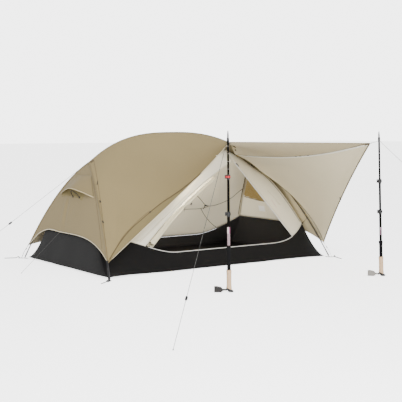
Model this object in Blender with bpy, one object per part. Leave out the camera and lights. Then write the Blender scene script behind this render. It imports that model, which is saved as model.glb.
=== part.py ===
"""Ultralight two-person tent, pitched, with its front door panel raised as an awning on two trekking poles.

The origin is on the ground under the middle of the floor. +X runs along the long side, +Y away from the
open door and +Z up. Lengths are in metres. The two trekking poles stand upside down on their grips, and a
height on one of them is measured along it from the ground.
"""

import math
from dataclasses import dataclass

import bmesh
import bpy
import numpy as np
from mathutils import Matrix, Vector

# Floor and its walls
FLOOR_HALF_LENGTH = 1.05
FLOOR_HALF_WIDTH = 0.675
FLOOR_WAIST = 0.06
WALL_LEAN = 0.92
CORNER_HEIGHT = 0.263
FRONT_WALL_HEIGHT = 0.134
BACK_WALL_HEIGHT = 0.10

# Arched frame
POLE_RADIUS = 0.00435
SLEEVE_RADIUS = 0.0052
HUB_X = 0.83
HUB_HEIGHT = 0.804
FOOT_X = 1.062
FOOT_Y = 0.715
LEG_ARCH = 0.506
RIDGE_HEIGHT = 1.0385
RIDGE_POWER_LEFT = 3.0
RIDGE_POWER_RIGHT = 2.25
RIDGE_JOINT_X = 0.28
SOCKET_DEPTH = 0.025
SOCKET_START = 0.016
HUB_ARM_RADIUS = 0.007
FIT = 0.0004

# Flysheet
CLOTH = 0.0012
SEAM_GAP = 0.0028
FLY_OFFSET = 0.014
FLY_CORNER = 0.09
DOOR_TOP_X = 0.545
BACK_PEG_Y = 1.28
DOOR_HEM_BOW = 0.018
END_HEM_HEIGHT = {-1: 0.268, 1: 0.238}
END_HEM_DROP = {-1: 0.152, 1: 0.120}
END_HEM_SHIFT = 0.015
ARCH_TOP = (0.522, -0.10, 0.866)
AWNING_LEFT = (-0.632, -1.548, 0.990)
AWNING_RIGHT = (0.602, -1.616, 0.974)
AWNING_FREE_BOW = (-0.010, 0.010, 0.022)
AWNING_FOLD_SAG = 0.058
VENT_HEIGHT = 0.60
STRUT_HINGE = (-0.948, 0.0, 0.55)

# Inner tent
INNER_HUB = (0.795, 0.745)
INNER_DROP = 0.06
DOOR_LEFT = (-0.63, -0.505, 0.185)
DOOR_RIGHT = (0.82, -0.515, 0.175)
DOOR_TOP = (0.52, -0.105, 0.79)
DOOR_CORNER_REACH = 0.93
DOOR_EDGE_BOW = (0.03, 0.06, 0.042)
PANEL_SAG = (0.0, 0.025, -0.012)
FLAP_OFFSET = (0.005, 0.017, -0.027)

# Lines
CORD_RADIUS = 0.0013
TOUCH = 0.0003

MERGE = 0.0001


def vec(*parts):
    return np.array(parts, float)


def unit(vector):
    return np.asarray(vector, float) / np.linalg.norm(vector)


def lerp(start, end, share):
    return start + (end - start) * share


def ease(value, low, high):
    """0 below low, 1 above high and smooth between them."""
    share = min(max((value - low) / (high - low), 0.0), 1.0)
    return share * share * (3 - 2 * share)


def along(route, share):
    """Point at a share of the length of a smooth curve through the route's points."""
    route = np.array(route, float)
    knots = np.append(0.0, np.cumsum(np.linalg.norm(np.diff(route, axis=0), axis=1)))
    slopes = np.gradient(route, knots, axis=0)
    place = min(max(share, 0.0), 1.0) * knots[-1]
    first = min(int(np.searchsorted(knots, place, side="right")) - 1, len(route) - 2)
    span = knots[first + 1] - knots[first]
    t = (place - knots[first]) / span
    start = (1 + 2 * t) * (1 - t) ** 2 * route[first] + t * (1 - t) ** 2 * span * slopes[first]
    end = t * t * (3 - 2 * t) * route[first + 1] + t * t * (t - 1) * span * slopes[first + 1]
    return start + end


# Materials

def linear(colour):
    """sRGB components from 0 to 255 as the linear values that a shader takes."""
    shares = [part / 255 for part in colour]
    return [part / 12.92 if part <= 0.04045 else ((part + 0.055) / 1.055) ** 2.4 for part in shares]


def material(name, colour, roughness, metallic=0.0):
    """A Principled BSDF of that sRGB colour."""
    made = bpy.data.materials.new(name)
    made.use_nodes = True
    shader = made.node_tree.nodes["Principled BSDF"]
    shader.inputs["Base Color"].default_value = (*linear(colour), 1.0)
    shader.inputs["Roughness"].default_value = roughness
    shader.inputs["Metallic"].default_value = metallic
    return made


def fly_cloth(name):
    return material(name, (169, 155, 128), 0.75)


def awning_cloth(name):
    return material(name, (201, 191, 168), 0.75)


def inner_cloth(name):
    return material(name, (212, 203, 186), 0.8)


def floor_cloth(name):
    return material(name, (42, 40, 39), 0.5)


def alloy(name):
    return material(name, (70, 70, 72), 0.35, 0.9)


def carbon(name):
    return material(name, (44, 45, 42), 0.4)


def black_plastic(name):
    return material(name, (25, 25, 26), 0.5)


def cork(name):
    return material(name, (218, 200, 186), 0.9)


def foam(name):
    return material(name, (30, 30, 31), 0.95)


def webbing(name):
    return material(name, (34, 34, 35), 0.85)


def line_cord(name):
    return material(name, (196, 196, 194), 0.8)


# Making solids

def link(name, data, finish):
    """A new object of that data in the scene, with its own material."""
    made = bpy.data.objects.new(name, data)
    bpy.context.scene.collection.objects.link(made)
    data.materials.append(finish(name + "_finish"))
    return made


def mesh_object(name, shape, finish, smooth=True):
    """A new mesh object from a bmesh, which this frees."""
    mesh = bpy.data.meshes.new(name)
    shape.to_mesh(mesh)
    shape.free()
    if smooth:
        mesh.shade_smooth()
        mesh.set_sharp_from_angle(angle=math.radians(35))
    return link(name, mesh, finish)


def sheet(name, surface, columns, rows, finish, thickness=CLOTH, offset=0.0):
    """A closed sheet of cloth: a grid laid over surface(u, v), each from 0 to 1, then given its thickness."""
    cloth = bmesh.new()
    bmesh.ops.create_grid(cloth, x_segments=columns, y_segments=rows, size=0.5)
    for vertex in cloth.verts:
        vertex.co = Vector(surface(vertex.co.x + 0.5, vertex.co.y + 0.5))
    bmesh.ops.remove_doubles(cloth, verts=cloth.verts, dist=MERGE)
    bmesh.ops.triangulate(cloth, faces=cloth.faces)
    made = mesh_object(name, cloth, finish)
    skin = made.modifiers.new("Thickness", "SOLIDIFY")
    skin.thickness = thickness
    skin.offset = offset
    return made


def held_back(surface, gap=SEAM_GAP, most=0.2):
    """The same surface, drawn in from all four edges by the gap."""

    def drawn_in(u, v):
        across = np.linalg.norm(surface(1.0, v) - surface(0.0, v))
        up = np.linalg.norm(surface(u, 1.0) - surface(u, 0.0))
        trim_u = min(gap / max(across, 1e-6), most)
        trim_v = min(gap / max(up, 1e-6), most)
        return surface(lerp(trim_u, 1 - trim_u, u), lerp(trim_v, 1 - trim_v, v))

    return drawn_in


def rod(name, points, radii, finish, resolution=2):
    """A round rod with filled ends along the points, with a radius at each."""
    curve = bpy.data.curves.new(name, "CURVE")
    curve.dimensions = "3D"
    curve.bevel_depth = 1.0
    curve.bevel_resolution = resolution
    curve.use_fill_caps = True
    spline = curve.splines.new("POLY")
    spline.points.add(len(points) - 1)
    for point, place, radius in zip(spline.points, points, radii):
        point.co = (*place, 1.0)
        point.radius = radius
    spline.use_smooth = True
    return link(name, curve, finish)


def plate(name, outlines, thickness, finish):
    """A flat plate in the XY plane, half its thickness each side. Outlines after the first are its holes."""
    curve = bpy.data.curves.new(name, "CURVE")
    curve.dimensions = "2D"
    curve.fill_mode = "BOTH"
    curve.extrude = thickness / 2
    for outline in outlines:
        spline = curve.splines.new("POLY")
        spline.points.add(len(outline) - 1)
        for point, (x, y) in zip(spline.points, outline):
            point.co = (x, y, 0.0, 1.0)
        spline.use_cyclic_u = True
    return link(name, curve, finish)


def turned(name, profile, finish, steps=16):
    """A turned piece: (radius, height) points that go round Z, from axis to axis or as a closed ring."""
    piece = bmesh.new()
    verts = [piece.verts.new((radius, 0.0, height)) for radius, height in profile]
    pairs = list(zip(verts, verts[1:]))
    if profile[0][0] > 0:
        pairs.append((verts[-1], verts[0]))
    edges = [piece.edges.new(pair) for pair in pairs]
    bmesh.ops.spin(
        piece, geom=verts + edges, cent=(0, 0, 0), axis=(0, 0, 1), angle=math.tau, steps=steps, use_merge=True
    )
    bmesh.ops.remove_doubles(piece, verts=piece.verts, dist=1e-6)
    bmesh.ops.recalc_face_normals(piece, faces=piece.faces)
    return mesh_object(name, piece, finish)


def box(name, low, high, finish):
    """A box between two corners."""
    shape = bmesh.new()
    bmesh.ops.create_cube(shape, size=1.0)
    low = np.array(low, float)
    high = np.array(high, float)
    for vertex in shape.verts:
        vertex.co = Vector((low + high) / 2 + np.array(vertex.co) * (high - low))
    return mesh_object(name, shape, finish, smooth=False)


def combine(body, tool, operation):
    """Unites the body with a helper, or cuts the helper out of it. The helper isn't part of the object."""
    tool.hide_render = True
    tool.display_type = "WIRE"
    step = body.modifiers.new(tool.name, "BOOLEAN")
    step.operation = operation
    step.object = tool


def turn_to(direction):
    """The shortest rotation that turns Z into the direction."""
    return Vector((0, 0, 1)).rotation_difference(Vector(direction)).to_matrix().to_4x4()


def circle(centre, radius, count=12):
    """Corner points of a round outline."""
    angles = [math.tau * step / count for step in range(count)]
    return [(centre[0] + radius * math.cos(a), centre[1] + radius * math.sin(a)) for a in angles]


# Frame of the tent

def leg_point(sx, sy, share):
    """Axis of a leg pole, from its foot at 0 to its hub at 1. sx and sy are the signs of its corner."""
    x = sx * lerp(FOOT_X, HUB_X, share)
    y = sy * FOOT_Y * (1 - share)
    return vec(x, y, HUB_HEIGHT * (share + LEG_ARCH * share * (1 - share)))


def ridge_point(x):
    """Axis of the ridge pole. The awning draws its right half flatter at the hub than the left."""
    power = RIDGE_POWER_LEFT if x < 0 else RIDGE_POWER_RIGHT
    return vec(x, 0.0, RIDGE_HEIGHT - (RIDGE_HEIGHT - HUB_HEIGHT) * abs(x / HUB_X) ** power)


def hub_direction(sx, sy):
    """Direction in which a pole leaves its hub: the ridge for sy of 0, or a leg."""
    if sy == 0:
        inner = sx * HUB_X * 0.999
        return unit(ridge_point(inner) - ridge_point(sx * HUB_X))
    return unit(leg_point(sx, sy, 0.999) - leg_point(sx, sy, 1.0))


def pole_end(sx, sy):
    """The two axis points of the straight stretch that stands in the hub's socket."""
    hub = vec(sx * HUB_X, 0.0, HUB_HEIGHT)
    direction = hub_direction(sx, sy)
    return [hub + direction * SOCKET_START, hub + direction * (SOCKET_START + SOCKET_DEPTH + 0.01)]


def make_ridge_pole():
    """Three sections. The outer two end in the sleeves that the middle one meets."""
    middle = [ridge_point(x) for x in np.linspace(-RIDGE_JOINT_X + TOUCH, RIDGE_JOINT_X - TOUCH, 8)]
    rod("ridge_pole_middle_section", middle, [POLE_RADIUS] * len(middle), alloy)
    for sx, name in ((-1, "ridge_pole_left_section"), (1, "ridge_pole_right_section")):
        points = pole_end(sx, 0)
        points += [ridge_point(sx * x) for x in (0.76, 0.66, 0.56, 0.46)]
        radii = [POLE_RADIUS] * len(points)
        sleeve = [ridge_point(sx * x) for x in (0.341, 0.34, RIDGE_JOINT_X)]
        rod(name, points + sleeve, radii + [POLE_RADIUS, SLEEVE_RADIUS, SLEEVE_RADIUS], alloy)


def make_legs():
    """Four arched legs, each with a thin tip that stands in the grommet of its corner strap."""
    for sx, side in ((-1, "left"), (1, "right")):
        for sy, end in ((-1, "front"), (1, "back")):
            foot = [leg_point(sx, sy, share) for share in (0.0018, 0.010, 0.0105)]
            middle = [leg_point(sx, sy, share) for share in np.linspace(0.1, 0.9, 9)]
            top = pole_end(sx, sy)[::-1]
            radii = [0.0018, 0.0022, SLEEVE_RADIUS] + [POLE_RADIUS] * (len(middle) + 2)
            rod(f"leg_{end}_{side}", foot + middle + top, radii, alloy)


def make_hubs():
    """A hub takes the ridge and two legs in bored arms."""
    reach = SOCKET_START + SOCKET_DEPTH
    for sx, name in ((-1, "hub_left"), (1, "hub_right")):
        centre = vec(sx * HUB_X, 0.0, HUB_HEIGHT)
        arm_profile = [(0, 0), (HUB_ARM_RADIUS, 0), (HUB_ARM_RADIUS, reach), (0, reach)]
        bore_radius = POLE_RADIUS + FIT
        bore_profile = [(0, SOCKET_START - FIT), (bore_radius, SOCKET_START - FIT), (bore_radius, 0.06), (0, 0.06)]
        arms = []
        bores = []
        for sy in (0, -1, 1):
            turn = Matrix.Translation(centre) @ turn_to(hub_direction(sx, sy))
            arm = turned(name if sy == 0 else f"{name}_arm_{sy}", arm_profile, black_plastic, steps=12)
            bore = turned(f"{name}_bore_{sy}", bore_profile, black_plastic, steps=12)
            arm.matrix_world = turn
            bore.matrix_world = turn
            arms.append(arm)
            bores.append(bore)
        core = turned(f"{name}_core", [(0, -0.009), (0.009, -0.006), (0.009, 0.006), (0, 0.009)], black_plastic, 12)
        core.location = centre
        for tool in arms[1:] + [core]:
            combine(arms[0], tool, "UNION")
        for tool in bores:
            combine(arms[0], tool, "DIFFERENCE")


# Flysheet

def outward(sx, sy, share):
    """Direction from a pole's axis to the fly over it."""
    return unit(vec(0.5 * sx, 0.55 * sy * (1 - share), 0.75))


def fly_leg(sx, sy, share):
    return leg_point(sx, sy, share) + FLY_OFFSET * outward(sx, sy, share)


def fly_ridge(x):
    lean = abs(x / HUB_X) ** 4 * math.copysign(1.0, x)
    return ridge_point(x) + FLY_OFFSET * outward(lean, 0, 1)


def fly_corner(sx, sy):
    return fly_leg(sx, sy, FLY_CORNER)


def door_top():
    return fly_ridge(DOOR_TOP_X)


def front_left_surface(u, v):
    """From the left leg at u 0 to the diagonal door hem at u 1, and from the ground corner up to the ridge."""
    corner = fly_corner(-1, -1)
    hub = fly_leg(-1, -1, 1.0)
    top = door_top()
    leg_bulge = fly_leg(-1, -1, lerp(FLY_CORNER, 1.0, v)) - lerp(corner, hub, v)
    ridge_bulge = fly_ridge(lerp(-HUB_X, DOOR_TOP_X, u)) - lerp(hub, top, u)
    face = unit(np.cross(top - corner, hub - corner))
    swell = 0.016 * math.sin(math.pi * u**7) * math.sin(math.pi * min(v, 1.0) ** 0.7)
    beyond = np.cross(unit(top - corner), face)
    bow = DOOR_HEM_BOW * u**16 * math.sin(math.pi * min(v, 1.0) ** 1.5)
    flat = corner + v * (lerp(hub, top, u) - corner)
    return flat + (1 - u) ** 2 * leg_bulge + v**1.3 * ridge_bulge + swell * face + bow * beyond


def seam_point(share):
    """The arched seam between the front right strip and the awning, from its top to the ground corner."""
    route = [
        ARCH_TOP,
        (0.656, -0.145, 0.79),
        (0.745, -0.195, 0.708),
        (0.838, -0.325, 0.598),
        (0.908, -0.50, 0.448),
        (0.96, -0.62, 0.305),
        (1.0, -0.675, 0.19),
        fly_corner(1, -1),
    ]
    return along(route, share)


def pole_line(share):
    """Over the ridge from the top of the door to the right hub, then down the front right leg."""
    hub_share = 0.24
    if share < hub_share:
        return fly_ridge(lerp(DOOR_TOP_X, HUB_X, share / hub_share))
    return fly_leg(1, -1, lerp(1.0, FLY_CORNER, (share - hub_share) / (1 - hub_share)))


def front_right_surface(u, v):
    """From the pole line at v 0 to the arched seam at v 1."""
    return lerp(pole_line(u), seam_point(u), v)


def awning_left_edge(share):
    """The open zip edge, from the top of the door to the left awning corner."""
    return lerp(door_top(), np.array(AWNING_LEFT), share) - vec(0, 0, 0.02) * 4 * share * (1 - share)


def awning_fold(share):
    """The middle seam of the door panel, from the top of the arched seam to the right awning corner."""
    sag = AWNING_FOLD_SAG * 4 * share * (1 - share)
    return lerp(np.array(ARCH_TOP), np.array(AWNING_RIGHT), share) - vec(0, 0, sag)


def awning_free_edge(share):
    """The hem from the right awning corner down to the ground corner, bowed out a little."""
    bow = np.array(AWNING_FREE_BOW) * 4 * share * (1 - share)
    return lerp(np.array(AWNING_RIGHT), fly_corner(1, -1), share) + bow


def patch(left, right, bottom, top, u, v):
    """A surface through four edge curves: left and right run along v, bottom and top along u."""
    ruled = lerp(left(v), right(v), u) + lerp(bottom(u), top(u), v)
    corners = lerp(lerp(left(0), right(0), u), lerp(left(1), right(1), u), v)
    return ruled - corners


def awning_surface(u, v):
    """Roof for u below one half and the hanging wall above it. v runs from the tent to the outer edge."""
    if u <= 0.5:
        return patch(
            awning_left_edge,
            awning_fold,
            lambda s: lerp(door_top(), np.array(ARCH_TOP), s),
            lambda s: lerp(np.array(AWNING_LEFT), np.array(AWNING_RIGHT), s),
            2 * u,
            v,
        )
    corner = fly_corner(1, -1)
    return patch(awning_fold, lambda s: corner, seam_point, awning_free_edge, 2 * u - 1, v)


def end_hem_height(sx, y):
    """Height of the arched hem of an end panel. Its back half hangs straighter and drops later."""
    if y < 0:
        return END_HEM_HEIGHT[sx] - END_HEM_DROP[sx] * abs(y / 0.655) ** 2.9
    return END_HEM_HEIGHT[sx] + END_HEM_SHIFT * ease(y, 0.15, 0.35) - END_HEM_DROP[sx] * 1.18 * (y / 0.655) ** 4.2


def end_surface(sx):
    """An end panel, between its two legs and from the arched hem up to the hub."""

    def surface(u, v):
        across = 2 * u - 1
        low = FLY_CORNER
        for _ in range(6):
            y = across * FOOT_Y * (1 - low)
            height = max(end_hem_height(sx, y), 0.116) - 0.0105
            low = (1 + LEG_ARCH - math.sqrt((1 + LEG_ARCH) ** 2 - 4 * LEG_ARCH * height / HUB_HEIGHT)) / (2 * LEG_ARCH)
        share = lerp(low, 0.975, v)
        return lerp(fly_leg(sx, -1, share), fly_leg(sx, 1, share), u)

    return surface


def back_surface(u, v):
    """The closed back panel, from the ridge at v 0 down to its hem, which dips to the peg in the middle."""
    x = lerp(-HUB_X, HUB_X, u)
    left = u < 0.5
    sx = -1 if left else 1
    half = 2 * u if left else 2 - 2 * u
    corner = fly_corner(sx, 1)
    peg = vec(0, BACK_PEG_Y, 0.03)
    arc = 4 * half * (1 - half)
    hem = lerp(corner, peg, half) + vec(0, -0.05, 0.05) * arc
    leg_bulge = fly_leg(sx, 1, lerp(1.0, FLY_CORNER, v)) - lerp(fly_leg(sx, 1, 1.0), corner, v)
    return lerp(fly_ridge(x), hem, v) + (1 - half) ** 3 * leg_bulge


def hood_surface(u, v):
    """The vent hood, from its seam on the left end panel out to its raised rim."""
    rim = [(-0.946, -0.27, 0.562), (-0.98, -0.12, 0.60), (-1.0, 0.0, 0.618), (-0.98, 0.12, 0.60), (-0.946, 0.27, 0.562)]
    seam_share = 0.795
    seam = lerp(fly_leg(-1, -1, seam_share), fly_leg(-1, 1, seam_share), lerp(0.06, 0.94, u))
    return lerp(seam + vec(-0.006, 0, 0.002), along(rim, u), v)


def make_fly():
    """The panels of the flysheet, each held back from its seams."""
    sheet("fly_front_left_panel", held_back(trimmed(front_left_surface, v=(0.02, 1))), 15, 9, fly_cloth)
    sheet("fly_front_right_strip", held_back(trimmed(front_right_surface, u=(0.0, 0.965))), 18, 2, fly_cloth)
    sheet("fly_back_panel", held_back(back_surface), 16, 8, fly_cloth)
    sheet("awning_panel", held_back(trimmed(awning_surface, u=(0.04, 0.985)), 0.004), 20, 10, awning_cloth)
    sheet("fly_right_end_panel", held_back(end_surface(1)), 10, 7, fly_cloth)
    left = sheet("fly_left_end_panel", held_back(end_surface(-1)), 10, 7, fly_cloth)
    mouth = turned("vent_mouth_cutter", [(0, -0.1), (1, -0.1), (1, 0.1), (0, 0.1)], fly_cloth)
    mouth.matrix_world = (
        Matrix.Translation((-0.93, 0, VENT_HEIGHT - 0.005))
        @ Matrix.Rotation(math.pi / 2, 4, "Y")
        @ Matrix.Diagonal((0.02, 0.13, 1, 1))
    )
    combine(left, mouth, "DIFFERENCE")
    sheet("vent_hood", held_back(hood_surface, 0.001), 10, 4, fly_cloth)


def trimmed(surface, u=(0.0, 1.0), v=(0.0, 1.0)):
    """The same surface over only part of its range."""
    return lambda a, b: surface(lerp(*u, a), lerp(*v, b))


def make_vent_strut():
    """A stiff hoop hinged on the end panel that props the hood open."""
    hinge = np.array(STRUT_HINGE)
    points = []
    for step in range(11):
        angle = math.pi * step / 10
        points.append(vec(-0.037 * math.sin(angle), -0.052 * math.cos(angle), 0.050 * math.sin(angle)))
    strut = rod("vent_strut", points, [0.0024] * len(points), black_plastic, 1)
    strut.location = hinge


# Inner tent

def wall_height(x, sy):
    """Height of the floor's front or back wall. Its ends are pulled up to the corner clips."""
    reach = abs(x)
    if sy > 0:
        return BACK_WALL_HEIGHT + (CORNER_HEIGHT - BACK_WALL_HEIGHT) * max((reach - 0.6) / 0.4, 0.0) ** 1.8
    rise = CORNER_HEIGHT - FRONT_WALL_HEIGHT
    if x < 0:
        return FRONT_WALL_HEIGHT + rise * ease(reach, 0.38, 0.92)
    return FRONT_WALL_HEIGHT + rise * max((reach - 0.55) / 0.45, 0.0) ** 2.4


def wall_top(x, sy):
    """Top edge of the front or back wall at x, which runs from -1 to 1."""
    height = wall_height(x, sy)
    return vec(x, sy * (FLOOR_HALF_WIDTH - WALL_LEAN * height), height)


def tub_rim(station):
    """Floor edge and wall top at a station that goes once round the tub, with how near it is to a corner."""
    side = int(station) % 4
    q = 2 * (station - int(station)) - 1
    if side % 2:
        sx = 1 if side == 1 else -1
        top_corner = wall_top(sx, 1)
        floor = vec(sx * FLOOR_HALF_LENGTH, sx * q * FLOOR_HALF_WIDTH, 0)
        return floor, vec(top_corner[0], sx * q * top_corner[1], CORNER_HEIGHT), abs(q)
    sy = -1 if side == 0 else 1
    x = -sy * q
    half_width = FLOOR_HALF_WIDTH - FLOOR_WAIST * (1 - abs(q) ** 8)
    return vec(x * FLOOR_HALF_LENGTH, sy * half_width, 0), wall_top(x, sy), abs(q)


def make_floor_tub():
    """The waterproof floor: one cloth whose edges are folded up into walls, highest at the corners."""
    stations = []
    for side, count in enumerate((14, 8, 14, 8)):
        stations += [side + 0.5 - 0.5 * math.cos(math.pi * step / count) for step in range(count)]
    rings = [[] for _ in range(6)]
    tub = bmesh.new()
    middle = tub.verts.new((0, 0, 0))
    for station in stations:
        floor, top, nearness = tub_rim(station)
        power = lerp(1.0, 0.6, nearness**8)
        rings[0].append(tub.verts.new(Vector(floor * vec(0.5, 0.5, 0))))
        rings[1].append(tub.verts.new(Vector(floor * vec(0.93, 0.93, 0))))
        rings[2].append(tub.verts.new(Vector(floor)))
        for ring, share in zip(rings[3:], (0.22, 0.55, 1.0)):
            plan = lerp(floor, top, share**power)
            ring.append(tub.verts.new((plan[0], plan[1], top[2] * share)))
    count = len(stations)
    for i in range(count):
        j = (i + 1) % count
        tub.faces.new((middle, rings[0][j], rings[0][i]))
        for low, high in zip(rings, rings[1:]):
            tub.faces.new((low[i], low[j], high[j], high[i]))
    bmesh.ops.triangulate(tub, faces=tub.faces)
    made = mesh_object("floor_tub", tub, floor_cloth)
    skin = made.modifiers.new("Thickness", "SOLIDIFY")
    skin.thickness = CLOTH
    skin.offset = -1.0


def inner_leg(sx, sy, share):
    """Seam of the inner tent under a leg, from the tub's corner up to the inner hub."""
    corner = wall_top(sx, sy)
    control = vec(sx * 0.8725, sy * 0.1835, 0.696)
    hub = vec(sx * INNER_HUB[0], 0, INNER_HUB[1])
    return (1 - share) ** 2 * corner + 2 * share * (1 - share) * control + share**2 * hub


def inner_ridge(x):
    return ridge_point(x * HUB_X / INNER_HUB[0]) * vec(0, 0, 1) + vec(x, 0, -INNER_DROP)


def above(point):
    """A point just clear of the tub's top edge."""
    return point + vec(0, 0, 0.004)


def inner_back_surface(u, v):
    return patch(
        lambda s: inner_leg(-1, 1, s),
        lambda s: inner_leg(1, 1, s),
        lambda s: above(wall_top(lerp(-1, 1, s), 1)),
        lambda s: inner_ridge(lerp(-INNER_HUB[0], INNER_HUB[0], s)),
        u,
        v,
    )


def door_left_edge(share):
    """Left edge of the open inner door, from the tub's edge up to the top of the door and on to the ridge."""
    top = np.array(DOOR_TOP) + vec(-0.02, 0, 0.01)
    if share > DOOR_CORNER_REACH:
        return lerp(top, inner_ridge(0.50), (share - DOOR_CORNER_REACH) / (1 - DOOR_CORNER_REACH))
    share /= DOOR_CORNER_REACH
    return lerp(np.array(DOOR_LEFT), top, share) + np.array(DOOR_EDGE_BOW) * 4 * share * (1 - share)


def door_right_edge(share):
    """Right edge of the open inner door, a straight zip, and on to the ridge."""
    if share > DOOR_CORNER_REACH:
        return lerp(np.array(DOOR_TOP), inner_ridge(0.51), (share - DOOR_CORNER_REACH) / (1 - DOOR_CORNER_REACH))
    return lerp(np.array(DOOR_RIGHT), np.array(DOOR_TOP), share / DOOR_CORNER_REACH)


def inner_front_left_surface(u, v):
    hung = patch(
        lambda s: inner_leg(-1, -1, s),
        door_left_edge,
        lambda s: above(wall_top(lerp(-1, DOOR_LEFT[0], s), -1)),
        lambda s: inner_ridge(lerp(-INNER_HUB[0], 0.50, s)),
        u,
        v,
    )
    return hung + np.array(PANEL_SAG) * math.sin(math.pi * u**0.7) * math.sin(math.pi * v)


def inner_front_right_surface(u, v):
    return patch(
        door_right_edge,
        lambda s: inner_leg(1, -1, s),
        lambda s: above(wall_top(lerp(DOOR_RIGHT[0], 1, s), -1)),
        lambda s: inner_ridge(lerp(0.51, INNER_HUB[0], s)),
        u,
        v,
    )


def inner_end_surface(sx):
    def surface(u, v):
        return lerp(inner_leg(sx, -1, v), inner_leg(sx, 1, v), u) + vec(0, 0, 0.004 * (1 - v))

    return surface


def make_door_flap():
    """The unzipped door, gathered in folds along the left edge of its opening."""
    flap = bmesh.new()
    sections = 13
    folds = 5
    corners = 4 * folds
    rings = []
    for step in range(sections):
        share = lerp(0.05, 0.78, step / (sections - 1))
        centre = door_left_edge(share * DOOR_CORNER_REACH)
        direction = unit(door_left_edge(share + 0.01) - door_left_edge(share - 0.01))
        side = unit(np.cross(direction, vec(0, 0, 1)))
        up = np.cross(side, direction)
        centre = centre + np.array(FLAP_OFFSET)
        size = lerp(0.030, 0.012, share)
        ring = []
        for corner in range(corners):
            angle = math.tau * corner / corners
            radius = size * (1 + 0.28 * math.cos(folds * angle + 1.5 * step / sections))
            place = centre + side * radius * math.cos(angle) + up * radius * 0.8 * math.sin(angle)
            ring.append(flap.verts.new(Vector(place)))
        rings.append(ring)
    for low, high in zip(rings, rings[1:]):
        for i in range(corners):
            j = (i + 1) % corners
            flap.faces.new((low[i], low[j], high[j], high[i]))
    flap.faces.new(rings[0][::-1])
    flap.faces.new(rings[-1])
    bmesh.ops.recalc_face_normals(flap, faces=flap.faces)
    mesh_object("inner_door_flap", flap, inner_cloth)


def make_inner():
    """The panels of the inner tent, each held back from its seams."""
    gap = 0.003
    sheet("inner_left_end_panel", held_back(trimmed(inner_end_surface(-1), v=(0, 0.97)), gap), 6, 6, inner_cloth)
    sheet("inner_right_end_panel", held_back(trimmed(inner_end_surface(1), v=(0, 0.97)), gap), 6, 6, inner_cloth)
    sheet("inner_back_panel", held_back(inner_back_surface, gap), 12, 6, inner_cloth)
    sheet("inner_front_left_panel", held_back(inner_front_left_surface, gap), 8, 8, inner_cloth)
    sheet("inner_front_right_panel", held_back(inner_front_right_surface, gap), 5, 8, inner_cloth)
    make_floor_tub()
    make_door_flap()


def make_zip_slider():
    """The slider of the inner door's straight zip, parked at the top."""
    low = np.array(DOOR_RIGHT)
    top = np.array(DOOR_TOP)
    direction = unit(low - top)
    face = unit(np.cross(direction, inner_leg(1, -1, 0.5) - (low + top) / 2))
    if face[1] > 0:
        face = -face
    slider = box("inner_door_zip_slider", (-0.005, -0.002, -0.008), (0.005, 0.003, 0.008), black_plastic)
    pull = box("zip_pull_tool", (-0.003, 0.001, -0.004), (0.003, 0.0065, 0.030), black_plastic)
    side = np.cross(face, direction)
    place = top + direction * 0.02 + face * 0.007
    frame = Matrix((side, face, direction)).transposed().to_4x4()
    frame.translation = Vector(place)
    slider.matrix_world = frame
    pull.matrix_world = frame
    combine(slider, pull, "UNION")


# Fastenings

PEG_RINGS = {
    (-1, -1): (-1.098, -0.742),
    (1, -1): (1.098, -0.735),
    (-1, 1): (-1.098, 0.742),
    (1, 1): (1.098, 0.735),
}
PEG_ENDS = {
    (-1, -1): (-1.185, -0.800),
    (1, -1): (1.053, -0.875),
    (-1, 1): (-1.215, 0.790),
    (1, 1): (1.053, 0.875),
}
CORNER_NAMES = {(-1, -1): "front_left", (1, -1): "front_right", (-1, 1): "back_left", (1, 1): "back_right"}


def make_corner_straps():
    """Flat webbing from the tub's corner to the peg, with a grommet that the leg's tip stands in."""
    half_width = 0.010
    thickness = 0.002
    for (sx, sy), name in CORNER_NAMES.items():
        start = vec(sx * (FLOOR_HALF_LENGTH + 0.002), sy * (FLOOR_HALF_WIDTH + 0.004))
        foot = leg_point(sx, sy, 0.0)[:2] + vec(-0.0006 * sx, -0.0015 * sy)
        ring = np.array(PEG_RINGS[(sx, sy)])
        first = unit(foot - start)
        second = unit(ring - foot)
        left = [start + half_width * turn_left(first)]
        right = [start - half_width * turn_left(first)]
        joint = unit(turn_left(first) + turn_left(second))
        joint /= joint @ turn_left(first)
        left.append(foot + half_width * joint)
        right.append(foot - half_width * joint)
        arc = []
        across = turn_left(second)
        for step in range(9):
            angle = math.pi * step / 8
            arc.append(ring + half_width * (across * math.cos(angle) + second * math.sin(angle)))
        outline = left + arc + right[::-1]
        strap = plate(
            f"corner_strap_{name}",
            [outline, circle(foot, 0.0055), circle(ring, 0.0055)],
            thickness,
            webbing,
        )
        strap.location.z = thickness / 2


def turn_left(direction):
    return vec(-direction[1], direction[0])


def make_pegs():
    """Hooked pegs that lie on the ground, each with its hook through a strap's ring."""
    radius = 0.0019
    for corner, name in CORNER_NAMES.items():
        ring = np.append(PEG_RINGS[corner], 0.0)
        end = np.append(PEG_ENDS[corner], 0.0)
        heading = unit(end - ring)
        length = np.linalg.norm(end - ring)
        steps = [(0.000, 0.0024), (0.000, 0.0075), (0.0025, 0.0115), (0.007, 0.0128), (0.0125, 0.0105)]
        steps += [(0.018, 0.0060), (0.026, 0.0030), (length - 0.012, radius + 0.0004), (length, radius)]
        points = [ring + heading * run + vec(0, 0, height) for run, height in steps]
        rod(f"ground_peg_{name}", points, [radius] * (len(points) - 1) + [0.0006], alloy, 1)
    steps = [(0.004, 0.050), (0.009, 0.052), (0.014, 0.048), (0.017, 0.038), (0.024, 0.022), (0.045, 0.008)]
    steps += [(0.11, radius + 0.0004), (0.17, radius)]
    points = [vec(0, BACK_PEG_Y + 0.004 + run, height) for run, height in steps]
    rod("ground_peg_back", points, [radius] * (len(points) - 1) + [0.0006], alloy, 1)


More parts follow.
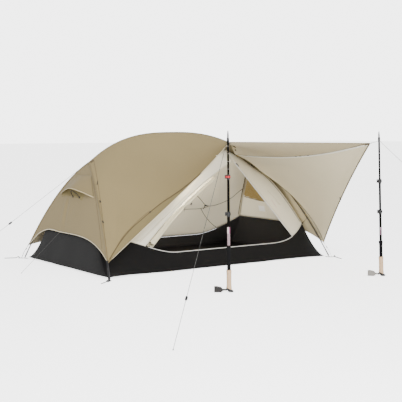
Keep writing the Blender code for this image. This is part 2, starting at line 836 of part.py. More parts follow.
def make_corner_clips():
    """A hook round each leg that holds up a corner of the tub."""
    wire = 0.0015
    for (sx, sy), name in CORNER_NAMES.items():
        corner = wall_top(sx, sy)
        share = min(np.linspace(0.15, 0.5, 141), key=lambda s: np.linalg.norm(leg_point(sx, sy, s) - corner))
        centre = leg_point(sx, sy, share)
        axis = unit(leg_point(sx, sy, share + 0.01) - centre)
        toward = corner - centre
        toward = unit(toward - axis * (toward @ axis))
        across = np.cross(axis, toward)
        radius = POLE_RADIUS + FIT + wire
        start = centre + toward * (np.linalg.norm(corner - centre) - 0.006)
        points = [start, centre + toward * 0.030, centre + toward * 0.014 + across * 0.002]
        radii = [0.0025, 0.0032, 0.0020]
        for step in range(9):
            angle = math.radians(50 + 25 * step)
            points.append(centre + radius * (toward * math.cos(angle) + across * math.sin(angle)))
            radii.append(wire)
        rod(f"tub_corner_clip_{name}", points, radii, black_plastic, 1)


# Trekking poles

@dataclass
class TrekkingPole:
    """One telescopic pole that stands on its grip. Heights are along it, from the ground."""

    name: str
    base: tuple
    lean: float
    lift: float
    tip_height: float
    tip_start: float
    middle_start: float
    middle_clamp: float
    upper_clamp: float
    foam_top: float
    cork_top: float
    strap_heading: tuple

    def axis(self):
        return unit(vec(self.lean, 0, self.tip_height))

    def frame(self):
        """Places something made upright at the origin on this pole."""
        return Matrix.Translation((self.base[0], self.base[1], self.lift)) @ turn_to(self.axis())


TREKKING_POLES = (
    TrekkingPole(
        name="trekking_pole_1",
        base=(-0.645, -1.562),
        lean=-0.013,
        lift=0.0006,
        tip_height=1.064,
        tip_start=0.60,
        middle_start=0.30,
        middle_clamp=0.763,
        upper_clamp=0.519,
        foam_top=0.301,
        cork_top=0.147,
        strap_heading=(-0.85, 0.52),
    ),
    TrekkingPole(
        name="trekking_pole_2",
        base=(0.670, -1.678),
        lean=-0.048,
        lift=0.0012,
        tip_height=1.058,
        tip_start=0.55,
        middle_start=0.26,
        middle_clamp=0.699,
        upper_clamp=0.476,
        foam_top=0.260,
        cork_top=0.143,
        strap_heading=(-0.72, 0.69),
    ),
)
TIP_RADIUS = 0.0070
MIDDLE_RADIUS = 0.0082
UPPER_RADIUS = 0.0095
COLLAR_RADIUS = 0.0130
COLLAR_HALF = 0.014
LEVER_PIN = 0.0190
LEVER_HALF = 0.0060
LEVER_ANGLE = math.radians(144.5)
TIP_COLLAR = 1.013


def tube_with_collar(name, bore, outer, start, clamp):
    """A tube whose top ends in the round collar of its clamp."""
    low = clamp - COLLAR_HALF
    high = clamp + COLLAR_HALF
    profile = [(bore, start), (outer, start), (outer, low), (COLLAR_RADIUS, low + 0.001)]
    profile += [(COLLAR_RADIUS, high - 0.001), (COLLAR_RADIUS - 0.001, high), (bore, high)]
    return turned(name, profile, carbon)


def add_lever_ears(tube, clamp, frame):
    """Two ears and a pin on the collar, between which the lever's knuckle turns."""
    place = frame @ Matrix.Translation((0, 0, clamp)) @ Matrix.Rotation(LEVER_ANGLE, 4, "Z")
    slot = LEVER_HALF + 2 * FIT
    for sign, end in ((1, "upper"), (-1, "lower")):
        low, high = sorted((sign * slot, sign * 0.0125))
        ear = box(f"{tube.name}_{end}_ear", (0.010, -0.0045, low), (0.0242, 0.0045, high), carbon)
        ear.matrix_world = place
        combine(tube, ear, "UNION")
    pin = turned(f"{tube.name}_pin", [(0, -0.0098), (0.0016, -0.0098), (0.0016, 0.0098), (0, 0.0098)], alloy, 8)
    pin.matrix_world = place @ Matrix.Translation((LEVER_PIN, 0, 0))
    combine(tube, pin, "UNION")


def make_lever(name, clamp, frame):
    """A clamp lever: a knuckle round the pin and an arm that lies round the collar."""
    inner = COLLAR_RADIUS + 0.0012
    outer = inner + 0.0028
    knuckle = 0.0040
    outline = []
    for step in range(9):
        angle = math.radians(100 - 270 * step / 8)
        outline.append((knuckle * math.cos(angle), knuckle * math.sin(angle)))
    for radius, first, last in ((inner, 16, 150), (outer, 150, 22)):
        for step in range(8):
            angle = math.radians(lerp(first, last, step / 7))
            outline.append((radius * math.cos(angle) - LEVER_PIN, radius * math.sin(angle)))
    lever = plate(name, [outline, circle((0, 0), 0.0016 + FIT, 8)], 2 * LEVER_HALF, black_plastic)
    turn = Matrix.Rotation(LEVER_ANGLE, 4, "Z")
    lever.matrix_world = frame @ Matrix.Translation((0, 0, clamp)) @ turn @ Matrix.Translation((LEVER_PIN, 0, 0))


def make_wrist_strap(pole):
    """A loop of ribbon that stands on its edge on the ground, from the grip's foot."""
    heading = unit(pole.strap_heading)
    across = turn_left(heading)
    centre = np.array(pole.base)
    ribbon = 0.003
    near = 0.0215
    length = 0.078
    height = 0.040
    sides = {1: [], -1: []}
    holes = {1: [], -1: []}
    for step in range(13):
        share = step / 12
        run = near + length * (1 - math.cos(math.pi * share)) / 2
        half = 0.0045 + 0.0115 * math.sin(math.pi * share**1.3) if step < 12 else 0.003
        inner_run = near + ribbon + (length - 2 * ribbon) * (1 - math.cos(math.pi * share)) / 2
        for sign in sides:
            sides[sign].append(centre + heading * run + across * half * sign)
            holes[sign].append(centre + heading * inner_run + across * max(half - ribbon, 0.0006) * sign)
    outline = sides[1] + sides[-1][::-1]
    hole = holes[1] + holes[-1][::-1]
    strap = plate(f"{pole.name}_wrist_strap", [outline, hole], height, webbing)
    strap.location.z = height / 2 + TOUCH


def make_trekking_pole(pole):
    """Three sections that slide into each other, two clamps with levers, a foam sleeve, a cork grip, a strap."""
    frame = pole.frame()
    tip_profile = [
        (0, pole.tip_start),
        (TIP_RADIUS, pole.tip_start),
        (TIP_RADIUS, TIP_COLLAR - 0.020),
        (0.0085, TIP_COLLAR - 0.018),
        (0.0085, TIP_COLLAR),
        (0.0058, TIP_COLLAR + 0.005),
        (0.0048, pole.tip_height - 0.014),
        (0.0040, pole.tip_height - 0.004),
        (0.0022, pole.tip_height),
        (0, pole.tip_height),
    ]
    pieces = [
        turned(f"{pole.name}_tip_section", tip_profile, carbon),
        tube_with_collar(
            f"{pole.name}_middle_section", TIP_RADIUS + FIT, MIDDLE_RADIUS, pole.middle_start, pole.middle_clamp
        ),
        tube_with_collar(f"{pole.name}_upper_section", MIDDLE_RADIUS + FIT, UPPER_RADIUS, 0.02, pole.upper_clamp),
    ]
    bore = UPPER_RADIUS + TOUCH
    cork_profile = [
        (0, 0.018),
        (bore, 0.018),
        (bore, pole.cork_top),
        (0.0148, pole.cork_top),
        (0.0172, 0.92 * pole.cork_top),
        (0.0156, 0.82 * pole.cork_top),
        (0.0160, 0.45 * pole.cork_top),
        (0.0176, 0.030),
        (0.0186, 0.012),
        (0.0155, 0),
        (0, 0),
    ]
    foam_low = pole.cork_top + TOUCH
    foam_profile = [(bore, foam_low), (0.0126, foam_low), (0.0130, foam_low + 0.02)]
    foam_profile += [(0.0126, pole.foam_top - 0.03), (0.0160, pole.foam_top - 0.008)]
    foam_profile += [(0.0130, pole.foam_top), (bore, pole.foam_top)]
    pieces.append(turned(f"{pole.name}_cork_grip", cork_profile, cork))
    pieces.append(turned(f"{pole.name}_foam_grip", foam_profile, foam))
    for piece in pieces:
        piece.matrix_world = frame
    add_lever_ears(pieces[1], pole.middle_clamp, frame)
    add_lever_ears(pieces[2], pole.upper_clamp, frame)
    make_lever(f"{pole.name}_middle_lever", pole.middle_clamp, frame)
    make_lever(f"{pole.name}_upper_lever", pole.upper_clamp, frame)
    make_wrist_strap(pole)


# Lines

LEFT_LINE = ((-0.8500, 0.0, 0.8095), (-1.66, 0.0, 0.2719))
STAKE_LINE = ((-1.0515, 0.0995, 0.2665), (-1.44, -0.048, 0.0035))
LINE_HEIGHT = 0.990
LINE_LEAD = 0.004
LINE_HOLD = 0.0089
LINE_BEND = 0.032
LINE_1_END = (-1.846, -2.692, 0.003)
LINE_2_END = (0.6790, -1.935, 0.7843)
LEFT_TENSIONER_X = -1.499
LINE_1_TENSIONER_X = -1.611


def line_points(route, count):
    return [along(route, step / (count - 1)) for step in range(count)]


def awning_line_route(pole, corner, end):
    """From the awning's corner once round the back of the pole's tip, then straight to its far end."""
    height = LINE_HEIGHT
    share = height / pole.tip_height
    centre = vec(pole.base[0] + pole.lean * share, pole.base[1], height)
    corner = np.array(corner)
    end = np.array(end)
    come = unit((centre - corner)[:2])
    leave = unit((end - centre)[:2])
    side = turn_left(come)
    if side @ leave > 0:
        side = -side
    start = corner + np.append(come, 0.0) * LINE_LEAD
    beside = centre + np.append(side * LINE_HOLD, 0.0)
    out = beside + unit(end - beside) * LINE_BEND
    return start, beside, out, end


def make_awning_line(name, pole, corner, end):
    """The short stretch from the awning's corner, the bend at the pole's tip and the long taut stretch."""
    start, beside, out, end = awning_line_route(pole, corner, end)
    bend = line_points([start, lerp(start, beside, 0.5), beside, out], 14)
    taut = [lerp(out, end, step / 24) for step in range(1, 25)]
    points = bend + taut
    rod(name, points, [CORD_RADIUS] * len(points), line_cord)
    return out, end


def make_tensioner(name, start, end, x):
    """A line tensioner: a tapered sleeve on the straight line from start to end, at x."""
    start = np.array(start)
    end = np.array(end)
    place = lerp(start, end, (x - start[0]) / (end[0] - start[0]))
    bore = CORD_RADIUS + FIT
    profile = [(bore, -0.016), (0.0036, -0.016), (0.0058, -0.006), (0.0058, 0.008), (0.0040, 0.016), (bore, 0.016)]
    sleeve = turned(name, profile, black_plastic, 12)
    sleeve.matrix_world = Matrix.Translation(place) @ turn_to(end - start)


def make_lines():
    """Guylines, taut, and the tensioners on two of them."""
    left = [lerp(np.array(LEFT_LINE[0]), np.array(LEFT_LINE[1]), step / 30) for step in range(31)]
    rod("guyline_left", left, [CORD_RADIUS] * len(left), line_cord)
    make_tensioner("tensioner_left", *LEFT_LINE, LEFT_TENSIONER_X)
    stake = [lerp(np.array(STAKE_LINE[0]), np.array(STAKE_LINE[1]), step / 20) for step in range(21)]
    rod("guyline_left_hem", stake, [CORD_RADIUS] * len(stake), line_cord)
    straight = make_awning_line("guyline_pole_1", TREKKING_POLES[0], AWNING_LEFT, LINE_1_END)
    make_tensioner("tensioner_pole_1", *straight, LINE_1_TENSIONER_X)
    make_awning_line("guyline_pole_2", TREKKING_POLES[1], AWNING_RIGHT, LINE_2_END)


def main():
    for old in list(bpy.data.objects):
        bpy.data.objects.remove(old)
    make_ridge_pole()
    make_legs()
    make_hubs()
    make_fly()
    make_vent_strut()
    make_inner()
    make_zip_slider()
    make_corner_straps()
    make_pegs()
    make_corner_clips()
    for pole in TREKKING_POLES:
        make_trekking_pole(pole)
    make_lines()


main()
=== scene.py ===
"""Looks of a pitched tent whose front door panel is raised as an awning on two trekking poles.

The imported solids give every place. The cloth, the straps and the lines are laid again over the same
surfaces, finer and with their seams, and the poles and fittings are turned and folded in more detail.
Lengths are in metres. +X runs along the long side, +Y away from the open door and +Z up.
"""

import logging
import math
from collections.abc import Callable, Sequence
from dataclasses import dataclass, field
from enum import Enum

import bmesh
import bpy
import numpy as np
from mathutils import Matrix, Vector, kdtree, noise

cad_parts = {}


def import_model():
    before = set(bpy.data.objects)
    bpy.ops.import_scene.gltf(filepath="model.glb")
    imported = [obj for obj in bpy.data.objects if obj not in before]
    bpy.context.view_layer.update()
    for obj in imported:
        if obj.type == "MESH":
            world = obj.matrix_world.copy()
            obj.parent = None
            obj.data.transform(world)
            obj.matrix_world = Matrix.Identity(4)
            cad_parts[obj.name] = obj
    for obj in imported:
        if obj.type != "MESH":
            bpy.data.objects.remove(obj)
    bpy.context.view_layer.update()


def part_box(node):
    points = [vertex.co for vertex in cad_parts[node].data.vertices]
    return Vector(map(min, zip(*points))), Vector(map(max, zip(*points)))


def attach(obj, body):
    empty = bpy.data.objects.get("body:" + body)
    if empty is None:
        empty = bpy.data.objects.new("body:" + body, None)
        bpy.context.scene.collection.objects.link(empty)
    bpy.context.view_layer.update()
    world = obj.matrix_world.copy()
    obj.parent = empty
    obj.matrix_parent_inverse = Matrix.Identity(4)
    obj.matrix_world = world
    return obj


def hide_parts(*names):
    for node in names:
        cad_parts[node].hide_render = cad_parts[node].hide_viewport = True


LOG = logging.getLogger("tent")
Point = np.ndarray
Surface = Callable[[float, float], Point]
Curve = Callable[[float], Point]
Colour = tuple[int, int, int]


def vec(*parts: float) -> Point:
    """A vector of those numbers."""
    return np.array(parts, float)


def unit(vector: Sequence[float]) -> Point:
    """The vector at length 1."""
    return np.asarray(vector, float) / np.linalg.norm(vector)


def lerp(start: Point | float, end: Point | float, share: float) -> Point | float:
    """The value at a share of the way from start to end."""
    return start + (end - start) * share


def ease(value: float, low: float, high: float) -> float:
    """0 below low, 1 above high and smooth between them."""
    share = min(max((value - low) / (high - low), 0.0), 1.0)
    return share * share * (3 - 2 * share)


def across(direction: Point) -> Point:
    """The level direction turned left by a right angle."""
    return vec(-direction[1], direction[0])


def turn_to(direction: Point) -> Matrix:
    """The shortest rotation that turns Z into the direction."""
    return Vector((0, 0, 1)).rotation_difference(Vector(direction)).to_matrix().to_4x4()


def measured_along(points: Point) -> Point:
    """How far along a run of points each one is."""
    return np.append(0.0, np.cumsum(np.linalg.norm(np.diff(points, axis=0), axis=1)))


class Route:
    """A smooth curve through points, asked for by share of its length."""

    def __init__(self, points: Sequence[Sequence[float]]) -> None:
        """Measures the route.

        Args:
            points: The points that it passes through, in order.
        """
        self.points = np.array(points, float)
        self.knots = measured_along(self.points)
        self.slopes = np.gradient(self.points, self.knots, axis=0)

    def __call__(self, share: float) -> Point:
        """The point at a share of the length.

        Args:
            share: From 0 at the first point to 1 at the last.

        Returns:
            The point.
        """
        place = min(max(share, 0.0), 1.0) * self.knots[-1]
        first = min(int(np.searchsorted(self.knots, place, side="right")) - 1, len(self.points) - 2)
        span = self.knots[first + 1] - self.knots[first]
        t = (place - self.knots[first]) / span
        start = (1 + 2 * t) * (1 - t) ** 2 * self.points[first] + t * (1 - t) ** 2 * span * self.slopes[first]
        end = t * t * (3 - 2 * t) * self.points[first + 1] + t * t * (t - 1) * span * self.slopes[first + 1]
        return start + end


class Corner(Enum):
    """A ground corner of the tent, as the signs of x and y."""

    FRONT_LEFT = (-1, -1)
    FRONT_RIGHT = (1, -1)
    BACK_LEFT = (-1, 1)
    BACK_RIGHT = (1, 1)

    @property
    def label(self) -> str:
        """The corner's name as the nodes spell it."""
        return self.name.lower()


class Edge(Enum):
    """An edge of a cut of cloth: low or high u, low or high v."""

    LEFT = (0, 0.0)
    RIGHT = (0, 1.0)
    LOW = (1, 0.0)
    HIGH = (1, 1.0)

    def curve(self, surface: Surface) -> Curve:
        """The edge as a curve.

        Args:
            surface: The cloth's surface.

        Returns:
            A function of the share along the edge.
        """
        axis, at = self.value
        return (lambda s: surface(at, s)) if axis == 0 else (lambda s: surface(s, at))

    def inward(self, surface: Surface, reach: float = 0.02) -> Curve:
        """The direction from the edge into the cloth.

        Args:
            surface: The cloth's surface.
            reach: Share of the cloth over which the direction is measured.

        Returns:
            A function of the share along the edge.
        """
        axis, at = self.value
        inside = at + reach if at == 0.0 else at - reach

        def direction(s: float) -> Point:
            """The direction at one place.

            Args:
                s: Share of the way along, from 0 to 1.

            Returns:
                The direction.
            """
            if axis == 0:
                return unit(surface(inside, s) - surface(at, s))
            return unit(surface(s, inside) - surface(s, at))

        return direction


# Shape of the tent

@dataclass(frozen=True)
class TentShape:
    """Where the poles, seams and hems of the tent run."""

    floor_half: tuple[float, float] = (1.05, 0.675)
    floor_waist: float = 0.06
    wall_lean: float = 0.92
    corner_height: float = 0.263
    front_wall: float = 0.134
    back_wall: float = 0.10
    pole_radius: float = 0.00435
    hub: tuple[float, float] = (0.83, 0.804)
    foot: tuple[float, float] = (1.062, 0.715)
    leg_arch: float = 0.506
    ridge_height: float = 1.0385
    ridge_powers: tuple[float, float] = (3.0, 2.25)
    fly_offset: float = 0.014
    fly_corner: float = 0.09
    door_top_x: float = 0.545
    back_peg_y: float = 1.28
    arch_top: tuple[float, float, float] = (0.522, -0.10, 0.866)
    door_hem_bow: float = 0.018
    door_swell: float = 0.016
    end_hem_height: tuple[float, float] = (0.268, 0.238)
    end_hem_drop: tuple[float, float] = (0.152, 0.120)
    end_hem_shift: float = 0.015
    end_hem_half: float = 0.655
    end_hem_low: float = 0.116
    end_hem_lap: float = 0.0105
    end_top: float = 0.985
    hood_seam: float = 0.795
    back_hem_height: float = 0.03
    back_hem_bow: tuple[float, float, float] = (0.0, -0.05, 0.05)
    awning_left: tuple[float, float, float] = (-0.632, -1.548, 0.990)
    awning_right: tuple[float, float, float] = (0.602, -1.616, 0.974)
    awning_free_bow: tuple[float, float, float] = (-0.010, 0.010, 0.022)
    awning_fold_sag: float = 0.058
    awning_left_sag: float = 0.02
    inner_hub: tuple[float, float] = (0.795, 0.745)
    inner_drop: float = 0.06
    inner_bend: tuple[float, float, float] = (0.8725, 0.1835, 0.696)
    door_ridge: tuple[float, float] = (0.50, 0.51)
    door_left: tuple[float, float, float] = (-0.63, -0.505, 0.185)
    door_right: tuple[float, float, float] = (0.82, -0.515, 0.175)
    door_top: tuple[float, float, float] = (0.52, -0.105, 0.79)
    door_reach: float = 0.93
    door_bow: tuple[float, float, float] = (0.03, 0.06, 0.042)
    panel_sag: tuple[float, float, float] = (0.0, 0.025, -0.012)

    def leg(self, sx: int, sy: int, share: float) -> Point:
        """Axis of a leg pole, from its foot at 0 to its hub at 1.

        Args:
            sx: -1 for the left side, 1 for the right.
            sy: -1 for the front side, 1 for the back.
            share: From the foot at 0 to the hub at 1.

        Returns:
            The point.
        """
        x = sx * lerp(self.foot[0], self.hub[0], share)
        y = sy * self.foot[1] * (1 - share)
        return vec(x, y, self.hub[1] * (share + self.leg_arch * share * (1 - share)))

    def ridge(self, x: float) -> Point:
        """Axis of the ridge pole at x.

        Args:
            x: Place along X.

        Returns:
            The point.
        """
        power = self.ridge_powers[0] if x < 0 else self.ridge_powers[1]
        rise = self.ridge_height - self.hub[1]
        return vec(x, 0.0, self.ridge_height - rise * abs(x / self.hub[0]) ** power)

    def outward(self, sx: float, sy: int, share: float) -> Point:
        """Direction from a pole's axis to the fly over it."""
        return unit(vec(0.5 * sx, 0.55 * sy * (1 - share), 0.75))

    def fly_leg(self, sx: int, sy: int, share: float) -> Point:
        """The fly over a leg."""
        return self.leg(sx, sy, share) + self.fly_offset * self.outward(sx, sy, share)

    def fly_ridge(self, x: float) -> Point:
        """The fly over the ridge pole."""
        lean = abs(x / self.hub[0]) ** 4 * math.copysign(1.0, x)
        return self.ridge(x) + self.fly_offset * self.outward(lean, 0, 1)

    def corner(self, sx: int, sy: int) -> Point:
        """Ground corner of the fly."""
        return self.fly_leg(sx, sy, self.fly_corner)

    def front_left(self, u: float, v: float) -> Point:
        """The front left panel, from the left leg to the diagonal door hem and from the corner to the ridge.

        Args:
            u: Place across, from the leg at 0 to the door hem at 1.
            v: Place up, from the corner at 0 to the ridge at 1.

        Returns:
            The point.
        """
        corner = self.corner(-1, -1)
        hub = self.fly_leg(-1, -1, 1.0)
        top = self.fly_ridge(self.door_top_x)
        leg_bulge = self.fly_leg(-1, -1, lerp(self.fly_corner, 1.0, v)) - lerp(corner, hub, v)
        ridge_bulge = self.fly_ridge(lerp(-self.hub[0], self.door_top_x, u)) - lerp(hub, top, u)
        face = unit(np.cross(top - corner, hub - corner))
        swell = self.door_swell * math.sin(math.pi * u**7) * math.sin(math.pi * min(v, 1.0) ** 0.7)
        beyond = np.cross(unit(top - corner), face)
        bow = self.door_hem_bow * u**16 * math.sin(math.pi * min(v, 1.0) ** 1.5)
        flat = corner + v * (lerp(hub, top, u) - corner)
        return flat + (1 - u) ** 2 * leg_bulge + v**1.3 * ridge_bulge + swell * face + bow * beyond

    def arch_seam(self) -> Route:
        """The arched seam between the front right strip and the awning, from its top to the ground.

        Returns:
            The seam.
        """
        if not hasattr(TentShape, "_arch"):
            route = [self.arch_top, (0.656, -0.145, 0.79), (0.745, -0.195, 0.708), (0.838, -0.325, 0.598)]
            route += [(0.908, -0.50, 0.448), (0.96, -0.62, 0.305), (1.0, -0.675, 0.19), self.corner(1, -1)]
            TentShape._arch = Route(route)
        return TentShape._arch

    def pole_line(self, share: float) -> Point:
        """Over the ridge from the top of the door to the right hub, then down the front right leg.

        Args:
            share: Share of the way along, from 0 to 1.

        Returns:
            The point.
        """
        turn = 0.24
        if share < turn:
            return self.fly_ridge(lerp(self.door_top_x, self.hub[0], share / turn))
        return self.fly_leg(1, -1, lerp(1.0, self.fly_corner, (share - turn) / (1 - turn)))

    def front_right(self, u: float, v: float) -> Point:
        """From the pole line at v 0 to the arched seam at v 1."""
        return lerp(self.pole_line(u), self.arch_seam()(u), v)

    def awning_left_edge(self, share: float) -> Point:
        """The open zip edge, from the top of the door to the left awning corner."""
        top = self.fly_ridge(self.door_top_x)
        sag = vec(0, 0, self.awning_left_sag) * 4 * share * (1 - share)
        return lerp(top, np.array(self.awning_left), share) - sag

    def awning_fold(self, share: float) -> Point:
        """The middle seam of the door panel, from the top of the arched seam to the right corner."""
        sag = self.awning_fold_sag * 4 * share * (1 - share)
        return lerp(np.array(self.arch_top), np.array(self.awning_right), share) - vec(0, 0, sag)

    def awning_free_edge(self, share: float) -> Point:
        """The hem from the right awning corner down to the ground corner."""
        bow = np.array(self.awning_free_bow) * 4 * share * (1 - share)
        return lerp(np.array(self.awning_right), self.corner(1, -1), share) + bow

    def awning_roof(self, u: float, v: float) -> Point:
        """The roof half of the door panel.

        Args:
            u: Place across, from the open zip edge at 0 to the fold at 1.
            v: Place outwards, from the tent at 0 to the front edge at 1.

        Returns:
            The point.
        """
        top = self.fly_ridge(self.door_top_x)
        return patch(
            self.awning_left_edge,
            self.awning_fold,
            lambda s: lerp(top, np.array(self.arch_top), s),
            lambda s: lerp(np.array(self.awning_left), np.array(self.awning_right), s),
            u,
            v,
        )

    def awning_wall(self, u: float, v: float) -> Point:
        """The wall half of the door panel. v runs from the arched seam to the free edge."""
        corner = self.corner(1, -1)
        return patch(self.awning_fold, lambda s: corner, self.arch_seam(), self.awning_free_edge, u, v)

    def awning(self, u: float, v: float) -> Point:
        """The whole door panel: roof for u below one half and wall above it."""
        return self.awning_roof(2 * u, v) if u <= 0.5 else self.awning_wall(2 * u - 1, v)

    def hem_height(self, sx: int, y: float) -> float:
        """Height of the arched hem of an end panel. Its back half hangs straighter and drops later.

        Args:
            sx: -1 for the left side, 1 for the right.
            y: Place along Y.

        Returns:
            The height.
        """
        side = 0 if sx < 0 else 1
        top, drop = self.end_hem_height[side], self.end_hem_drop[side]
        if y < 0:
            return top - drop * abs(y / self.end_hem_half) ** 2.9
        return top + self.end_hem_shift * ease(y, 0.15, 0.35) - drop * 1.18 * (y / self.end_hem_half) ** 4.2

    def end(self, sx: int) -> Surface:
        """An end panel, between its two legs and from the arched hem up to the hub.

        Args:
            sx: -1 for the left side, 1 for the right.

        Returns:
            A function of (u, v).
        """

        def surface(u: float, v: float) -> Point:
            """A point of the panel.

            Args:
                u: Place across, from the front leg at 0 to the back leg at 1.
                v: Place up, from the hem at 0 to the hub at 1.

            Returns:
                The point.
            """
            side = 2 * u - 1
            low = self.fly_corner
            arch = self.leg_arch
            for _ in range(6):
                y = side * self.foot[1] * (1 - low)
                height = max(self.hem_height(sx, y), self.end_hem_low) - self.end_hem_lap
                low = (1 + arch - math.sqrt((1 + arch) ** 2 - 4 * arch * height / self.hub[1])) / (2 * arch)
            share = lerp(low, self.end_top, v)
            return lerp(self.fly_leg(sx, -1, share), self.fly_leg(sx, 1, share), u)

        return surface

    def back(self, u: float, v: float) -> Point:
        """The closed back panel.

        Args:
            u: Place across, from left at 0 to right at 1.
            v: Place down, from the ridge at 0 to the hem at 1.

        Returns:
            The point.
        """
        x = lerp(-self.hub[0], self.hub[0], u)
        sx = -1 if u < 0.5 else 1
        half = 2 * u if u < 0.5 else 2 - 2 * u
        corner = self.corner(sx, 1)
        arc = 4 * half * (1 - half)
        peg = vec(0, self.back_peg_y, self.back_hem_height)
        hem = lerp(corner, peg, half) + np.array(self.back_hem_bow) * arc
        top = self.fly_leg(sx, 1, 1.0)
        leg_bulge = self.fly_leg(sx, 1, lerp(1.0, self.fly_corner, v)) - lerp(top, corner, v)
        return lerp(self.fly_ridge(x), hem, v) + (1 - half) ** 3 * leg_bulge

    def hood(self, u: float, v: float) -> Point:
        """The vent hood, from its seam on the left end panel out to its raised rim."""
        front, back = self.fly_leg(-1, -1, self.hood_seam), self.fly_leg(-1, 1, self.hood_seam)
        seam = lerp(front, back, lerp(0.06, 0.94, u))
        return lerp(seam + vec(-0.006, 0, 0.002), HOOD_RIM(u), v)

    def wall_height(self, x: float, sy: int) -> float:
        """Height of the floor's front or back wall at x.

        Args:
            x: Place along X.
            sy: -1 for the front side, 1 for the back.

        Returns:
            The height.
        """
        reach = abs(x)
        if sy > 0:
            rise = self.corner_height - self.back_wall
            return self.back_wall + rise * max((reach - 0.6) / 0.4, 0.0) ** 1.8
        rise = self.corner_height - self.front_wall
        if x < 0:
            return self.front_wall + rise * ease(reach, 0.38, 0.92)
        return self.front_wall + rise * max((reach - 0.55) / 0.45, 0.0) ** 2.4

    def wall_top(self, x: float, sy: int) -> Point:
        """Top edge of the front or back wall at x."""
        height = self.wall_height(x, sy)
        return vec(x, sy * (self.floor_half[1] - self.wall_lean * height), height)

    def tub_rim(self, station: float) -> tuple[Point, Point, float]:
        """The tub's edges at a station that goes once round it.

        Args:
            station: From 0 to 4, one for each side.

        Returns:
            The floor's edge, the wall's top and how near a corner is, from 0 to 1.
        """
        side = int(station) % 4
        q = 2 * (station - int(station)) - 1
        half_length, half_width = self.floor_half
        if side % 2:
            sx = 1 if side == 1 else -1
            top_corner = self.wall_top(sx, 1)
            floor = vec(sx * half_length, sx * q * half_width, 0)
            return floor, vec(top_corner[0], sx * q * top_corner[1], self.corner_height), abs(q)
        sy = -1 if side == 0 else 1
        x = -sy * q
        waist = half_width - self.floor_waist * (1 - abs(q) ** 8)
        return vec(x * half_length, sy * waist, 0), self.wall_top(x, sy), abs(q)

    def inner_leg(self, sx: int, sy: int, share: float) -> Point:
        """Seam of the inner tent under a leg, from the tub's corner up to the inner hub.

        Args:
            sx: -1 for the left side, 1 for the right.
            sy: -1 for the front side, 1 for the back.
            share: Share of the way along, from 0 to 1.

        Returns:
            The point.
        """
        corner = self.wall_top(sx, sy)
        control = np.array(self.inner_bend) * vec(sx, sy, 1)
        hub = vec(sx * self.inner_hub[0], 0, self.inner_hub[1])
        return (1 - share) ** 2 * corner + 2 * share * (1 - share) * control + share**2 * hub

    def inner_ridge(self, x: float) -> Point:
        """Ridge seam of the inner tent at x."""
        return self.ridge(x * self.hub[0] / self.inner_hub[0]) * vec(0, 0, 1) + vec(x, 0, -self.inner_drop)

    def above(self, point: Point) -> Point:
        """A point just clear of the tub's top edge."""
        return point + vec(0, 0, 0.002)

    def inner_back(self, u: float, v: float) -> Point:
        """The back wall of the inner tent.

        Args:
            u: Place across, from left at 0 to right at 1.
            v: Place up, from the tub at 0 to the ridge at 1.

        Returns:
            The point.
        """
        return patch(
            lambda s: self.inner_leg(-1, 1, s),
            lambda s: self.inner_leg(1, 1, s),
            lambda s: self.above(self.wall_top(lerp(-1, 1, s), 1)),
            lambda s: self.inner_ridge(lerp(-self.inner_hub[0], self.inner_hub[0], s)),
            u,
            v,
        )

    def door_left_edge(self, share: float) -> Point:
        """Left edge of the open inner door, up to the top of the door and on to the ridge.

        Args:
            share: Share of the way along, from 0 to 1.

        Returns:
            The point.
        """
        top = np.array(self.door_top) + vec(-0.02, 0, 0.01)
        if share > self.door_reach:
            beyond = (share - self.door_reach) / (1 - self.door_reach)
            return lerp(top, self.inner_ridge(self.door_ridge[0]), beyond)
        share /= self.door_reach
        return lerp(np.array(self.door_left), top, share) + np.array(self.door_bow) * 4 * share * (1 - share)

    def door_right_edge(self, share: float) -> Point:
        """Right edge of the open inner door, a straight zip, and on to the ridge.

        Args:
            share: Share of the way along, from 0 to 1.

        Returns:
            The point.
        """
        top = np.array(self.door_top)
        if share > self.door_reach:
            beyond = (share - self.door_reach) / (1 - self.door_reach)
            return lerp(top, self.inner_ridge(self.door_ridge[1]), beyond)
        return lerp(np.array(self.door_right), top, share / self.door_reach)

    def inner_front_left(self, u: float, v: float) -> Point:
        """The fixed front panel left of the inner door.

        Args:
            u: Place across, from left at 0 to right at 1.
            v: Place up, from the tub at 0 to the ridge at 1.

        Returns:
            The point.
        """
        hung = patch(
            lambda s: self.inner_leg(-1, -1, s),
            self.door_left_edge,
            lambda s: self.above(self.wall_top(lerp(-1, self.door_left[0], s), -1)),
            lambda s: self.inner_ridge(lerp(-self.inner_hub[0], self.door_ridge[0], s)),
            u,
            v,
        )
        return hung + np.array(self.panel_sag) * math.sin(math.pi * u**0.7) * math.sin(math.pi * v)

    def inner_front_right(self, u: float, v: float) -> Point:
        """The fixed front panel right of the inner door.

        Args:
            u: Place across, from left at 0 to right at 1.
            v: Place up, from the tub at 0 to the ridge at 1.

        Returns:
            The point.
        """
        return patch(
            self.door_right_edge,
            lambda s: self.inner_leg(1, -1, s),
            lambda s: self.above(self.wall_top(lerp(self.door_right[0], 1, s), -1)),
            lambda s: self.inner_ridge(lerp(self.door_ridge[1], self.inner_hub[0], s)),
            u,
            v,
        )

    def inner_end(self, sx: int) -> Surface:
        """An end wall of the inner tent.

        Args:
            sx: -1 for the left side, 1 for the right.

        Returns:
            A function of (u, v).
        """

        def surface(u: float, v: float) -> Point:
            """A point of the wall."""
            return lerp(self.inner_leg(sx, -1, v), self.inner_leg(sx, 1, v), u) + vec(0, 0, 0.002 * (1 - v))

        return surface


